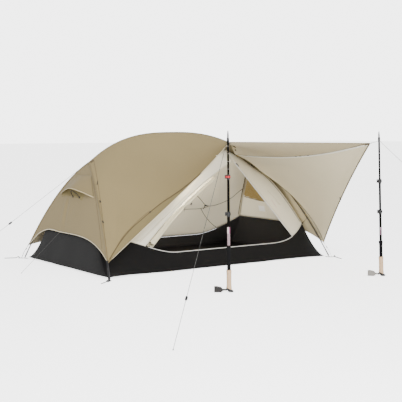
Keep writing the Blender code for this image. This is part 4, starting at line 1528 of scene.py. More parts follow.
@dataclass
class Cloth:
    """One cut of cloth, laid over a surface and given its thickness."""

    name: str
    surface: Surface
    grid: tuple[int, int]
    outer: Finish
    inner: Finish
    outside: tuple[float, float, float]
    creases: tuple[Crease, ...] = ()
    ripple: float = 0.0
    ripple_size: float = 0.25
    hemmed: tuple[Edge, ...] = (Edge.LEFT, Edge.RIGHT, Edge.LOW, Edge.HIGH)
    thickness: float = 0.0008
    mark: Callable[[float, float], float] | None = None
    margin: float = 0.06

    def build(self) -> bpy.types.Object:
        """Lays the cloth.

        Returns:
            The piece.
        """
        columns, rows = self.grid
        across_all, up_all = np.linspace(0, 1, columns + 1), np.linspace(0, 1, rows + 1)
        places = np.array([[self.surface(u, v) for v in up_all] for u in across_all])
        hem, run = self.measure_hems(places)
        normals = self.normals(places)
        flat = places.reshape(-1, 3)
        lift = np.zeros(len(flat))
        for crease in self.creases:
            lift += crease.lift(flat)
        if self.ripple:
            size = self.ripple_size
            lift += self.ripple * np.array([noise.noise(Vector(point / size)) for point in flat])
        calm = np.clip(hem / self.margin, 0.0, 1.0)
        lift *= calm * calm * (3 - 2 * calm)
        moved = flat + normals.reshape(-1, 3) * lift[:, None]
        LAID[self.name] = self.interpolated(moved.reshape(columns + 1, rows + 1, 3))
        cloth = bmesh.new()
        bmesh.ops.create_grid(cloth, x_segments=columns, y_segments=rows, size=0.5)
        laid = cloth.loops.layers.uv.new("cloth")
        layers = [cloth.verts.layers.float.new(name) for name in ("hem", "run", "mark")]
        weave = self.weave_plane(flat)
        turned = self.normal_sense(places)
        for vertex in cloth.verts:
            i, j = round((vertex.co.x + 0.5) * columns), round((vertex.co.y + 0.5) * rows)
            k = i * (rows + 1) + j
            mark = self.mark(across_all[i], up_all[j]) if self.mark else 0.0
            for layer, value in zip(layers, (hem[k], run[k], mark)):
                vertex[layer] = float(value)
            vertex.co = Vector(moved[k])
            flat_place = weave @ (flat[k] - flat[0])
            for loop in vertex.link_loops:
                loop[laid].uv = (float(flat_place[0]), float(flat_place[1]))
        bmesh.ops.remove_doubles(cloth, verts=cloth.verts, dist=0.00005)
        if turned < 0:
            bmesh.ops.reverse_faces(cloth, faces=cloth.faces)
        piece = new_object(self.name, cloth, (self.outer, self.inner))
        skin = piece.modifiers.new("Thickness", "SOLIDIFY")
        skin.thickness = self.thickness
        skin.offset = 0.0
        skin.material_offset = 1
        return piece

    def interpolated(self, places: Point) -> Surface:
        """The laid cloth as a surface, for what is sewn on it.

        Args:
            places: Its grid of points.

        Returns:
            A function of (u, v).
        """
        columns, rows = self.grid

        def on(u: float, v: float) -> Point:
            """A point of the laid cloth.

            Args:
                u: Place across, from 0 to 1.
                v: Place up or outwards, from 0 to 1.

            Returns:
                The point.
            """
            x, y = min(max(u, 0.0), 1.0) * columns, min(max(v, 0.0), 1.0) * rows
            i, j = min(int(x), columns - 1), min(int(y), rows - 1)
            low = lerp(places[i, j], places[i + 1, j], x - i)
            high = lerp(places[i, j + 1], places[i + 1, j + 1], x - i)
            return lerp(low, high, y - j)

        return on

    def normals(self, places: Point) -> Point:
        """The direction square to the cloth at each grid point, towards its outside.

        Args:
            places: The grid of points.

        Returns:
            A direction for each.
        """
        along_u = np.gradient(places, axis=0)
        along_v = np.gradient(places, axis=1)
        square = np.cross(along_u, along_v)
        length = np.linalg.norm(square, axis=2, keepdims=True)
        square = square / np.maximum(length, 1e-12)
        return square * self.normal_sense(places)

    def normal_sense(self, places: Point) -> float:
        """Whether u cross v points to the outside over a grid of points, as 1 or -1."""
        raw = np.cross(np.gradient(places, axis=0), np.gradient(places, axis=1)).reshape(-1, 3).sum(axis=0)
        return 1.0 if raw @ np.array(self.outside) > 0 else -1.0

    def weave_plane(self, flat: Point) -> Point:
        """Two directions in the cloth's own best plane, along which its threads run."""
        _, _, turn = np.linalg.svd(flat - flat.mean(axis=0), full_matrices=False)
        return turn[:2]

    def measure_hems(self, places: Point) -> tuple[Point, Point]:
        """Distance of each grid point from the nearest hem, and how far along that hem it is.

        Args:
            places: The grid of points.

        Returns:
            The distances and the runs.
        """
        samples, runs = [], []
        for edge in self.hemmed:
            axis, at = edge.value
            index = 0 if at == 0.0 else -1
            line = places[index] if axis == 0 else places[:, index]
            length = measured_along(line)
            if length[-1] < SHORTEST_HEM:
                continue
            marks = np.arange(0.0, length[-1], HEM_STEP)
            samples.append(np.stack([np.interp(marks, length, line[:, part]) for part in range(3)], axis=1))
            runs.append(marks)
        flat = places.reshape(-1, 3)
        if not samples:
            return np.full(len(flat), 1.0), np.zeros(len(flat))
        stations, marks = np.concatenate(samples), np.concatenate(runs)
        tree = kdtree.KDTree(len(stations))
        for index, station in enumerate(stations):
            tree.insert(Vector(station), index)
        tree.balance()
        found = [tree.find(Vector(point)) for point in flat]
        return np.array([hit[2] for hit in found]), np.array([marks[hit[1]] for hit in found])


@dataclass
class Tape:
    """A strip sewn along a seam, over both cloths that meet there."""

    name: str
    curve: Curve
    left: Curve
    right: Curve
    outside: Curve
    width: float
    finish: Finish
    lift: float = 0.0012
    crown: float = 0.0
    count: int = 60
    thickness: float = 0.0007

    def build(self) -> bpy.types.Object:
        """Lays the strip.

        Returns:
            The piece.
        """

        def surface(u: float, v: float) -> Point:
            """A point of the strip.

            Args:
                u: Share of the strip's length.
                v: Place across the strip, from 0 to 1.

            Returns:
                The point.
            """
            centre = self.curve(u)
            reach = (v - 0.5) * self.width
            side = self.right(u) if reach > 0 else self.left(u)
            square = self.square(u)
            hump = self.crown * math.exp(-((2.2 * (2 * v - 1)) ** 2))
            return centre + side * abs(reach) + square * (self.lift + hump)

        outside = tuple(self.square(0.5))
        strip = Cloth(self.name, surface, (self.count, 6), self.finish, self.finish, outside)
        strip.thickness = self.thickness
        return strip.build()

    def square(self, u: float) -> Point:
        """The direction away from the cloth.

        Args:
            u: Share of the strip's length.

        Returns:
            The direction.
        """
        low, high = max(u - 0.01, 0.0), min(u + 0.01, 1.0)
        run = unit(self.curve(high) - self.curve(low))
        out = self.outside(u)
        return unit(out - run * (out @ run))


@dataclass
class Binding:
    """A folded tape that takes in the raw edge of a cloth."""

    name: str
    curve: Curve
    inward: Curve
    width: float
    finish: Finish
    outside: tuple[float, float, float]
    radius: float = 0.0013
    count: int = 70
    ends: tuple[float, float] = (0.0, 1.0)

    def build(self) -> bpy.types.Object:
        """Folds the tape round the edge.

        Returns:
            The piece.
        """
        reference = np.array(self.outside)

        def surface(u: float, v: float) -> Point:
            """A point of the folded tape.

            Args:
                u: Share of the strip's length.
                v: Place round the fold, from 0 to 1.

            Returns:
                The point.
            """
            share = lerp(self.ends[0], self.ends[1], u)
            low, high = max(share - 0.01, 0.0), min(share + 0.01, 1.0)
            run = unit(self.curve(high) - self.curve(low))
            inward = self.inward(share)
            inward = unit(inward - run * (inward @ run))
            square = np.cross(run, inward)
            square = square if square @ reference > 0 else -square
            turn = math.pi * (v - 0.5)
            fold = max(0.0, 1 - abs(v - 0.5) * 4)
            reach = self.width * min(abs(v - 0.5) * 2, 1.0) ** 1.5 - self.radius * fold
            height = self.radius * math.sin(max(min(2 * turn, math.pi / 2), -math.pi / 2))
            return self.curve(share) + inward * reach + square * height

        strip = Cloth(
            self.name, surface, (self.count, 12), self.finish, self.finish, self.outside, hemmed=()
        )
        strip.thickness = 0.0006
        return strip.build()


def flat_side(direction: Curve) -> Curve:
    """The opposite direction, for a strip on flat cloth."""
    return lambda share: -direction(share)


def from_middle(point: Sequence[float], curve: Curve) -> Curve:
    """The direction from a point inside the tent out to a curve."""
    inside = np.array(point, float)
    return lambda share: unit(curve(share) - inside)


# Sub-assemblies

@dataclass(frozen=True)
class Sewn:
    """A line sewn along a cloth, through places given as (u, v)."""

    name: str
    stations: tuple
    width: float
    finish: Finish
    lift: float = 0.0014
    crown: float = 0.0004
    count: int = 40

    def build(self, surface: Surface, towards: Sequence[float], slot: str) -> bpy.types.Object:
        """Lays the line on the side of the cloth that faces a point.

        Args:
            surface: The cloth's surface.
            towards: The point that it faces.
            slot: Not used.

        Returns:
            The piece.
        """
        curve = path_on(surface, self.stations)
        outside = facing(surface, self.stations, towards)
        strip = seam(self.name, curve, outside, self.width, self.finish, self.lift, self.crown, self.count)
        return settle(strip, "tent")


@dataclass(frozen=True)
class Tab:
    """A small piece sewn or clipped on a cloth at (u, v)."""

    name: str
    spot: tuple[float, float]
    heading: tuple[float, float, float]
    size: tuple[float, float, float]
    finish: Finish
    edge: float = 0.0008
    taper: float = 1.0

    def build(self, surface: Surface, towards: Sequence[float], slot: str) -> bpy.types.Object:
        """Sets the piece on the side of the cloth that faces a point.

        Args:
            surface: The cloth's surface.
            towards: The point that it faces.
            slot: Not used.

        Returns:
            The piece.
        """
        out = facing(surface, (self.spot, self.spot_after()), towards)(0.0)
        along = np.array(self.heading, float)
        along = unit(along - out * (along @ out))
        place = surface(*self.spot) + out * (0.5 * self.size[2] + 0.0008)
        made = block(self.name, framed(place, along, out), self.size, self.finish, self.edge, self.taper)
        return settle(made, "tent")

    def spot_after(self) -> tuple[float, float]:
        """A second place beside the first, so that a direction can be measured."""
        return (self.spot[0] - 0.01, self.spot[1] - 0.01)


@dataclass(frozen=True)
class TrekkingPole:
    """A telescopic pole that stands upside down on its grip. Heights are along it, from the ground."""

    number: int
    base: tuple[float, float]
    lean: float
    lift: float
    tip_height: float
    tip_start: float
    middle_start: float
    middle_clamp: float
    upper_clamp: float
    foam_top: float
    cork_top: float
    strap_heading: tuple[float, float]
    clamp_finish: Finish
    tube_finish: Finish
    band_finish: Finish
    printed: tuple[tuple[float, float], ...]
    tip_radius: float = 0.0070
    middle_radius: float = 0.0082
    upper_radius: float = 0.0095
    collar_radius: float = 0.0130
    collar_half: float = 0.014
    tip_collar: float = 1.013
    fit: float = 0.0004
    grip_fit: float = 0.0003
    lever_angle: float = 144.5
    cap_slant: tuple[float, float, float] = (0.45, -0.20, 1.0)
    cap_lean: tuple[float, float] = (0.010, -0.008)
    cap_height: float = 0.026

    @property
    def name(self) -> str:
        """The start of the names of its nodes."""
        return f"trekking_pole_{self.number}"

    def frame(self) -> Matrix:
        """Places something made upright at the origin on this pole."""
        axis = unit(vec(self.lean, 0, self.tip_height))
        return Matrix.Translation((self.base[0], self.base[1], self.lift)) @ turn_to(axis)

    def at(self, height: float) -> Point:
        """A point on the pole's axis."""
        return np.array(self.frame() @ Vector((0, 0, height)))

    def build(self) -> None:
        """Builds the sections, clamps, grips and strap."""
        self.tip()
        fit = self.fit
        self.section(
            "middle", self.tip_radius + fit, self.middle_radius, self.middle_start, self.middle_clamp
        )
        self.section("upper", self.middle_radius + fit, self.upper_radius, 0.02, self.upper_clamp)
        for which in ("middle", "upper"):
            self.lever(which)
        self.foam()
        self.cork()
        self.strap()

    def tip(self) -> None:
        """The thin section: a tube with ring marks, the basket's thread, and the rubber and steel tip."""
        collar, top = self.tip_collar, self.tip_height
        profile = [(0, self.tip_start), (self.tip_radius, self.tip_start), (self.tip_radius, collar - 0.020)]
        profile += [(0.0088, collar - 0.018)]
        for ring in range(5):
            low = collar - 0.017 + 0.0034 * ring
            profile += [
                (0.0088, low), (0.0080, low + 0.0008), (0.0080, low + 0.0020), (0.0088, low + 0.0028)
            ]
        profile += [(0.0086, collar), (0.0060, collar + 0.005), (0.0050, top - 0.016), (0.0042, top - 0.012)]
        profile += [(0.0038, top - 0.004), (0.0030, top - 0.001), (0.0018, top), (0, top)]
        bands = ((collar - 0.019, top - 0.0155), (top - 0.0155, top))
        finishes = (self.tube_finish, Looks.black_plastic, Looks.steel)
        piece = spun(f"{self.name}_tip", rounded(profile, 0.0004), self.frame(), finishes, bands)
        settle(piece, "tent", [f"{self.name}_tip_section"])
        marks = [self.middle_clamp + 0.05 + 0.05 * step for step in range(4)]
        for index, height in enumerate(marks):
            ring = [(self.tip_radius - 0.0002, height), (self.tip_radius + 0.00012, height + 0.0001)]
            ring += [
                (self.tip_radius + 0.00012, height + 0.0009), (self.tip_radius - 0.0002, height + 0.001)
            ]
            settle(spun(f"{self.name}_mark_{index}", ring, self.frame(), (Looks.pale_print,)), "tent")

    def section(self, which: str, bore: float, outer: float, start: float, clamp: float) -> None:
        """A wider section with the clamp's collar at its top.

        Args:
            which: Name of the section.
            bore: Its inner radius.
            outer: Its outer radius.
            start: Height of its lower end.
            clamp: Height of the middle of its clamp.
        """
        low, high = clamp - self.collar_half, clamp + self.collar_half
        wide = self.collar_radius
        profile = [(bore, start), (outer, start), (outer, low - 0.006), (outer + 0.0016, low - 0.004)]
        profile += [(outer + 0.0016, low), (wide - 0.0012, low + 0.0006), (wide, low + 0.003)]
        profile += [(wide, low + 0.009), (wide - 0.0010, low + 0.0096), (wide - 0.0010, high - 0.0096)]
        profile += [(wide, high - 0.009), (wide, high - 0.003), (wide - 0.0014, high - 0.0004)]
        profile += [(bore + 0.0006, high), (bore, high - 0.0008)]
        ring_finish = self.clamp_finish if which == "middle" else Looks.black_plastic
        finishes = (self.tube_finish, Looks.black_plastic, ring_finish)
        bands = [(low - 0.0055, high + 0.001), (low + 0.0093, high - 0.0093)]
        if which == "upper":
            finishes += (self.band_finish,)
            bands += list(self.printed)
        profile = self.cut_rings(rounded(profile, 0.0005), bands)
        piece = spun(f"{self.name}_{which}", profile, self.frame(), finishes, bands)
        body = f"pole_{self.number}_{which}"
        settle(piece, body, [f"{self.name}_{which}_section"])
        turn = Matrix.Rotation(math.radians(self.lever_angle), 4, "Z")
        place = self.frame() @ Matrix.Translation((0, 0, clamp)) @ turn
        for sign, end in ((1, "top"), (-1, "low")):
            ear = place @ Matrix.Translation((0.0165, 0, 0.0096 * sign))
            size = (0.0135, 0.0086, 0.0054)
            lug = block(f"{self.name}_{which}_{end}_lug", ear, size, Looks.black_plastic, 0.0014, 0.85)
            settle(lug, body)
        pin = [(0, -0.0127), (0.0024, -0.0127), (0.0024, -0.0121), (0.0015, -0.0120), (0.0015, 0.0120)]
        pin += [(0.0024, 0.0121), (0.0024, 0.0127), (0, 0.0127)]
        place = place @ Matrix.Translation((0.0190, 0, 0))
        settle(spun(f"{self.name}_{which}_pin", pin, place, (Looks.steel,), steps=16), body)

    @staticmethod
    def cut_rings(
        profile: list[tuple[float, float]], bands: Sequence[tuple[float, float]]
    ) -> list[tuple[float, float]]:
        """Adds a point wherever a band starts or ends on an upright stretch of a profile.

        Args:
            profile: The (radius, height) points.
            bands: The bands' height ranges.

        Returns:
            The finer profile.
        """
        heights = sorted(height for band in bands for height in band)
        made = [profile[0]]
        for before, after in zip(profile, profile[1:]):
            inside = [
                height for height in heights if min(before[1], after[1]) < height < max(before[1], after[1])
            ]
            if after[1] < before[1]:
                inside.reverse()
            for height in inside:
                share = (height - before[1]) / (after[1] - before[1])
                made.append((lerp(before[0], after[0], share), height))
            made.append(after)
        return made

    def lever(self, which: str) -> None:
        """A clamp's lever, with rounded edges and a ribbed thumb rest.

        Args:
            which: Name of the section.
        """
        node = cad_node(f"{self.name}_{which}_lever")
        finish = self.clamp_finish if which == "middle" else Looks.black_plastic
        body = f"pole_{self.number}_{which}_lever"
        arm = refined(f"{self.name}_{which}_lever_arm", node, finish, 0.0008)
        arm.data.materials.append(Looks.black_plastic.material())
        clamp = self.middle_clamp if which == "middle" else self.upper_clamp
        axis = Vector(self.at(clamp))
        for face in arm.data.polygons:
            if (face.center - axis).length > 0.0182:
                face.material_index = 1
        settle(arm, body, [node.name])
        for rib in range(4):
            turn = math.radians(self.lever_angle + 118 + 8 * rib)
            place = self.frame() @ Matrix.Translation((0, 0, clamp)) @ Matrix.Rotation(turn, 4, "Z")
            place = place @ Matrix.Translation((0.0171, 0, 0))
            ridge = block(f"{self.name}_{which}_rib_{rib}", place, (0.0009, 0.0012, 0.0092), finish, 0.0004)
            settle(ridge, body)

    def foam(self) -> None:
        """The black foam sleeve, with soft rings and a flared upper end."""
        low, high = self.cork_top + 0.0004, self.foam_top
        bore = self.upper_radius + self.grip_fit
        profile = [(bore, low), (0.0120, low), (0.0127, low + 0.002)]
        rings = 9
        for step in range(rings * 6 + 1):
            share = step / (rings * 6)
            height = lerp(low + 0.004, high - 0.026, share)
            profile.append((0.0124 + 0.0006 * math.cos(math.tau * rings * share), height))
        profile += [
            (0.0132, high - 0.018), (0.0156, high - 0.010), (0.0158, high - 0.007), (0.0140, high - 0.002)
        ]
        profile += [(0.0120, high), (bore, high)]
        piece = spun(f"{self.name}_foam", profile, self.frame(), (Looks.foam,), steps=32)
        settle(piece, f"pole_{self.number}_upper", [f"{self.name}_foam_grip"])

    def cork(self) -> None:
        """The shaped cork grip, cut on a slant at its foot, and the black cap under it."""
        top = self.cork_top
        bore = self.upper_radius + self.grip_fit
        outline = [
            (bore, 0.001), (0.0186, 0.001), (0.0186, 0.014),
            (0.0178, 0.030), (0.0168, 0.040), (0.0160, 0.052),
        ]
        outline += [(0.0164, 0.066), (0.0158, 0.080), (0.0163, 0.094), (0.0157, 0.108), (0.0160, 0.82 * top)]
        outline += [
            (0.0172, 0.90 * top), (0.0175, 0.94 * top), (0.0166, 0.985 * top), (0.0150, top), (bore, top)
        ]
        slant = unit(self.cap_slant)
        heading = Vector((0, 0, 0.021))
        shape = bmesh.new()
        cork = spun(f"{self.name}_cork", self.dense(outline), Matrix.Identity(4), (Looks.cork,), steps=40)
        shape.from_mesh(cork.data)
        bmesh.ops.bisect_plane(
            shape, geom=shape.verts[:] + shape.edges[:] + shape.faces[:],
            plane_co=heading, plane_no=slant, clear_inner=True
        )
        rims = [edge for edge in shape.edges if edge.is_boundary]
        bmesh.ops.bridge_loops(shape, edges=rims)
        bmesh.ops.recalc_face_normals(shape, faces=shape.faces)
        bmesh.ops.transform(shape, matrix=self.frame(), verts=shape.verts)
        shape.to_mesh(cork.data)
        shape.free()
        body = f"pole_{self.number}_upper"
        settle(cork, body, [f"{self.name}_cork_grip"])
        self.cap(slant, heading, body)

    @staticmethod
    def dense(outline: Sequence[tuple[float, float]]) -> list[tuple[float, float]]:
        """The outline as a smooth curve between its second and last but one points.

        Args:
            outline: The (radius, height) points.

        Returns:
            The finer outline.
        """
        route = Route([(radius, 0.0, height) for radius, height in outline[1:-1]])
        smooth = [tuple(route(step / 40)[[0, 2]]) for step in range(41)]
        return [outline[0], *smooth, outline[-1]]

    def cap(self, slant: Point, heading: Vector, body: str) -> None:
        """The black moulded head of the grip, from the slanted cut down to the ground.

        Args:
            slant: Direction square to the cut.
            heading: A point on the cut.
            body: Name of the body that it rides on.
        """
        profile = [
            (0, 0.0002), (0.0120, 0.0002), (0.0165, 0.0016),
            (0.0186, 0.0055), (0.0190, 0.012), (0.0189, 0.045), (0, 0.045),
        ]
        head = spun(
            f"{self.name}_cap", self.dense(profile)[1:-1],
            Matrix.Identity(4), (Looks.black_plastic,), steps=40,
        )
        shape = bmesh.new()
        shape.from_mesh(head.data)
        bmesh.ops.bisect_plane(
            shape, geom=shape.verts[:] + shape.edges[:] + shape.faces[:],
            plane_co=heading - Vector(slant) * 0.0004,
            plane_no=slant, clear_outer=True,
        )
        bmesh.ops.holes_fill(shape, edges=[edge for edge in shape.edges if edge.is_boundary])
        for vertex in shape.verts:
            lean = 1 - ease(vertex.co.z, 0.0, self.cap_height)
            vertex.co.x += self.cap_lean[0] * lean
            vertex.co.y += self.cap_lean[1] * lean
        bmesh.ops.recalc_face_normals(shape, faces=shape.faces)
        bmesh.ops.transform(shape, matrix=self.frame(), verts=shape.verts)
        shape.to_mesh(head.data)
        shape.free()
        settle(head, body)

    def strap(self) -> None:
        """The wrist strap: two thin ribbons that widen into a soft pad."""
        heading = unit(self.strap_heading)
        side = across(heading)
        centre = np.array(self.base)
        near, length = 0.0215, 0.078

        def loop(u: float, v: float) -> Point:
            """A point of the ribbon.

            Args:
                u: Share of the ribbon's length.
                v: Place across the strip, from 0 to 1.

            Returns:
                The point.
            """
            sign = 1 if u < 0.5 else -1
            share = 1 - abs(2 * u - 1)
            run = near + 0.0015 + (length - 0.003) * (1 - math.cos(math.pi * share)) / 2
            half = 0.0045 + 0.0100 * math.sin(math.pi * min(share, 0.995) ** 1.3)
            wide = ease(share, 0.30, 0.46)
            low = lerp(0.012, 0.0012, wide)
            high = lerp(0.021, 0.0398, wide) - 0.006 * (1 - ease(share, 0.42, 0.7)) * wide
            spot = centre + heading * run + side * half * sign
            return vec(spot[0], spot[1], lerp(low, high, v))

        ribbon = Cloth(
            f"{self.name}_strap", loop, (90, 10), Looks.strap_outside,
            Looks.strap_inside, (-0.6, -0.8, 0.1), hemmed=()
        )
        ribbon.thickness = 0.0022
        body = f"pole_{self.number}_upper"
        strap = settle(ribbon.build(), body, [f"{self.name}_wrist_strap"])
        anchor = centre + heading * (near - 0.002)
        place = framed((anchor[0], anchor[1], 0.016), np.append(heading, 0.0), (0, 0, 1))
        lock = block(f"{self.name}_strap_lock", place, (0.010, 0.013, 0.012), Looks.black_plastic, 0.002)
        settle(lock, body)


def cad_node(name: str) -> bpy.types.Object:
    """The model's own object of that name."""
    return bpy.data.objects[name]


@dataclass(frozen=True)
class Guyline:
    """A taut line with a knot at each end."""

    name: str
    node: str
    points: tuple
    tensioner: str | None = None
    radius: float = 0.0013
    knot_turns: float = 2.6
    knot_length: float = 0.0062
    knot_radius: float = 0.0021

    def build(self) -> None:
        """Builds the cord, its knots and its tensioner."""
        points = np.array(self.points)
        cord = settle(tube(self.name, points, self.radius, Looks.line, 10), "tent", [self.node])
        for end, spot, inward in (("near", points[0], points[1]), ("far", points[-1], points[-2])):
            self.knot(f"{self.name}_{end}_knot", spot, unit(inward - spot))
        if self.tensioner:
            self.sleeve(points)
        length = float(measured_along(points)[-1])

    def knot(self, name: str, spot: Point, inward: Point) -> bpy.types.Object:
        """A few turns of the cord wound round itself.

        Args:
            name: Name of the piece.
            spot: The cord's end.
            inward: Direction of the cord from there.

        Returns:
            The piece.
        """
        side = unit(np.cross(inward, vec(0.3, 0.2, 0.9)))
        up = np.cross(inward, side)
        turns = []
        for step in range(41):
            turn = math.tau * self.knot_turns * step / 40
            fat = self.knot_radius * math.sin(math.pi * lerp(0.12, 0.88, step / 40)) ** 0.5
            along = inward * (0.0008 + self.knot_length * step / 40)
            place = spot + along + (side * math.cos(turn) + up * math.sin(turn)) * fat
            turns.append(vec(place[0], place[1], max(place[2], 0.0012)))
        return settle(tube(name, turns, 0.0011, Looks.line, 8), "tent")

    def sleeve(self, points: Point) -> bpy.types.Object:
        """The tensioner that slides on the cord.

        Args:
            points: The cord's points.

        Returns:
            The piece.
        """
        low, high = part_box(self.tensioner)
        place = np.array((low + high) / 2)
        run = unit(points[-1] - points[-2])
        bore = self.radius + 0.0003
        profile = [(bore, -0.0158), (0.0040, -0.0158), (0.0052, -0.013), (0.0072, -0.008), (0.0064, -0.005)]
        profile += [(0.0074, -0.001), (0.0064, 0.002), (0.0074, 0.006), (0.0068, 0.009), (0.0050, 0.0145)]
        profile += [(0.0030, 0.0158), (bore, 0.0158)]
        frame = Matrix.Translation(place) @ turn_to(run)
        piece = spun(
            f"{self.tensioner}_sleeve", rounded(profile, 0.0006), frame, (Looks.black_plastic,), steps=24
        )
        return settle(piece, self.tensioner, [self.tensioner])


@dataclass(frozen=True)
class Lines:
    """The guylines of the tent and of the awning."""

    poles: tuple[TrekkingPole, TrekkingPole]
    shape: TentShape = SHAPE
    left: tuple = ((-0.8500, 0.0, 0.8095), (-1.66, 0.0, 0.2719))
    stake: tuple = ((-1.0515, 0.0995, 0.2665), (-1.44, -0.048, 0.0035))
    height: float = 0.990
    lead: float = 0.004
    hold: float = 0.0089
    bend: float = 0.032
    ends: tuple = ((-1.846, -2.692, 0.003), (0.6790, -1.935, 0.7843))

    def build(self) -> None:
        """Builds the four lines."""
        Guyline("line_left", "guyline_left", self.straight(self.left, 30), "tensioner_left").build()
        Guyline("line_left_hem", "guyline_left_hem", self.straight(self.stake, 20)).build()
        first = self.round_tip(self.poles[0], self.shape.awning_left, self.ends[0])
        Guyline("line_pole_1", "guyline_pole_1", first, "tensioner_pole_1").build()
        second = self.round_tip(self.poles[1], self.shape.awning_right, self.ends[1])
        Guyline("line_pole_2", "guyline_pole_2", second).build()

    @staticmethod
    def straight(ends: tuple, steps: int) -> tuple:
        """Points on a straight line."""
        return tuple(lerp(np.array(ends[0]), np.array(ends[1]), step / steps) for step in range(steps + 1))

    def round_tip(self, pole: TrekkingPole, corner: Sequence[float], end: Sequence[float]) -> tuple:
        """From the awning's corner once round the back of the pole's tip, then straight to the far end.

        Args:
            pole: The pole.
            corner: The awning's corner.
            end: The far end.

        Returns:
            The points.
        """
        share = self.height / pole.tip_height
        centre = vec(pole.base[0] + pole.lean * share, pole.base[1], self.height)
        corner, end = np.array(corner), np.array(end)
        come, leave = unit((centre - corner)[:2]), unit((end - centre)[:2])
        side = across(come)
        if side @ leave > 0:
            side = -side
        start = corner + np.append(come, 0.0) * self.lead
        beside = centre + np.append(side * self.hold, 0.0)
        out = beside + unit(end - beside) * self.bend
        route = Route([start, lerp(start, beside, 0.5), beside, out])
        return tuple(
            [route(step / 13) for step in range(14)] + [lerp(out, end, step / 24) for step in range(1, 25)]
        )


@dataclass(frozen=True)
class PoleFrame:
    """The arched frame: ridge pole, legs, hubs and the vent's strut."""

    shape: TentShape = SHAPE
    sleeve_radius: float = 0.0052
    joint_x: float = 0.28
    socket: tuple[float, float] = (0.016, 0.025)
    strut_hinge: tuple[float, float, float] = (-0.948, 0.0, 0.55)
    hoop: tuple[float, float, float] = (0.037, 0.052, 0.050)

    def build(self) -> None:
        """Builds every pole and hub."""
        self.ridge()
        for corner in Corner:
            self.leg(corner)
        for side in ("left", "right"):
            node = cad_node(f"hub_{side}")
            hub = refined(f"hub_{side}_body", node, Looks.black_plastic, 0.0008)
            settle(hub, "tent", [node.name])
        self.strut()

    def end(self, sx: int, direction: Point) -> list[Point]:
        """The straight stretch that stands in a hub's socket, from the hub outwards.

        Args:
            sx: -1 for the left side, 1 for the right.
            direction: Direction out of the hub.

        Returns:
            Its points.
        """
        hub = vec(sx * self.shape.hub[0], 0.0, self.shape.hub[1])
        start, depth = self.socket
        return [hub + direction * reach for reach in (start, start + depth, start + depth + 0.01)]

    def ridge(self) -> None:
        """Three sections of the ridge pole, with the sleeves that join them."""
        ridge, radius = self.shape.ridge, self.shape.pole_radius
        middle = [ridge(x) for x in np.linspace(-self.joint_x + 0.0003, self.joint_x - 0.0003, 40)]
        piece = tube("ridge_middle", middle, radius, Looks.pole_alloy, 20)
        settle(piece, "tent", ["ridge_pole_middle_section"])
        for sx, side in ((-1, "left"), (1, "right")):
            inner = sx * self.shape.hub[0] * 0.999
            points = self.end(sx, unit(ridge(inner) - ridge(sx * self.shape.hub[0])))
            points += [ridge(sx * x) for x in np.linspace(0.755, 0.3415, 36)]
            sleeve = [ridge(sx * x) for x in (0.341, 0.3405, 0.3395, 0.32, 0.30, 0.2805, 0.28)]
            radii = [radius] * (len(points) + 1) + [0.0050] + [self.sleeve_radius] * 4 + [0.0049]
            piece = tube(f"ridge_{side}", points + sleeve, radii, Looks.pole_alloy, 20)
            settle(piece, "tent", [f"ridge_pole_{side}_section"])

    def leg(self, corner: Corner) -> None:
        """A leg with its thin metal foot and two joint sleeves.

        Args:
            corner: The ground corner.
        """
        sx, sy = corner.value
        leg = self.shape.leg
        side = "left" if sx < 0 else "right"
        end = "front" if sy < 0 else "back"
        direction = unit(leg(sx, sy, 0.999) - leg(sx, sy, 1.0))
        shares = [0.0018, 0.004, 0.0098, 0.0101, 0.0106, *np.linspace(0.02, 0.945, 48)]
        radii = [0.0016, 0.0021, 0.0022, 0.0047, 0.0051] + [self.radius_at(share) for share in shares[5:]]
        points = [leg(sx, sy, share) for share in shares] + self.end(sx, direction)[::-1]
        piece = tube(
            f"leg_{end}_{side}_tube", points, radii + [self.shape.pole_radius] * 3, Looks.pole_alloy, 20
        )
        settle(piece, "tent", [f"leg_{end}_{side}"])

    def radius_at(self, share: float) -> float:
        """The leg's radius: wider where a sleeve joins two sections and at the foot's ferrule."""
        wide = share < 0.05 or any(abs(share - middle) < 0.026 for middle in (0.36, 0.68))
        return self.sleeve_radius - 0.0001 if wide else self.shape.pole_radius

    def strut(self) -> None:
        """The hoop that props up the vent's hood, with a boss at each hinge."""
        hinge = np.array(self.strut_hinge)
        out, half, height = self.hoop
        angles = [math.pi * step / 40 for step in range(41)]
        points = [hinge + vec(-out * math.sin(a), -half * math.cos(a), height * math.sin(a)) for a in angles]
        piece = tube("vent_hoop", points, 0.0027, Looks.black_plastic, 12)
        settle(piece, "vent_strut", ["vent_strut"])
        for sy in (-1, 1):
            boss = [
                (0, -0.005), (0.004, -0.0045), (0.0072, -0.002), (0.0072, 0.002), (0.004, 0.0045), (0, 0.005)
            ]
            place = Matrix.Translation(hinge + vec(0, 0.0525 * sy, 0)) @ turn_to(vec(0, 1, 0))
            name = "vent_boss_front" if sy < 0 else "vent_boss_back"
            settle(spun(name, boss, place, (Looks.black_plastic,), steps=20), "vent_strut")


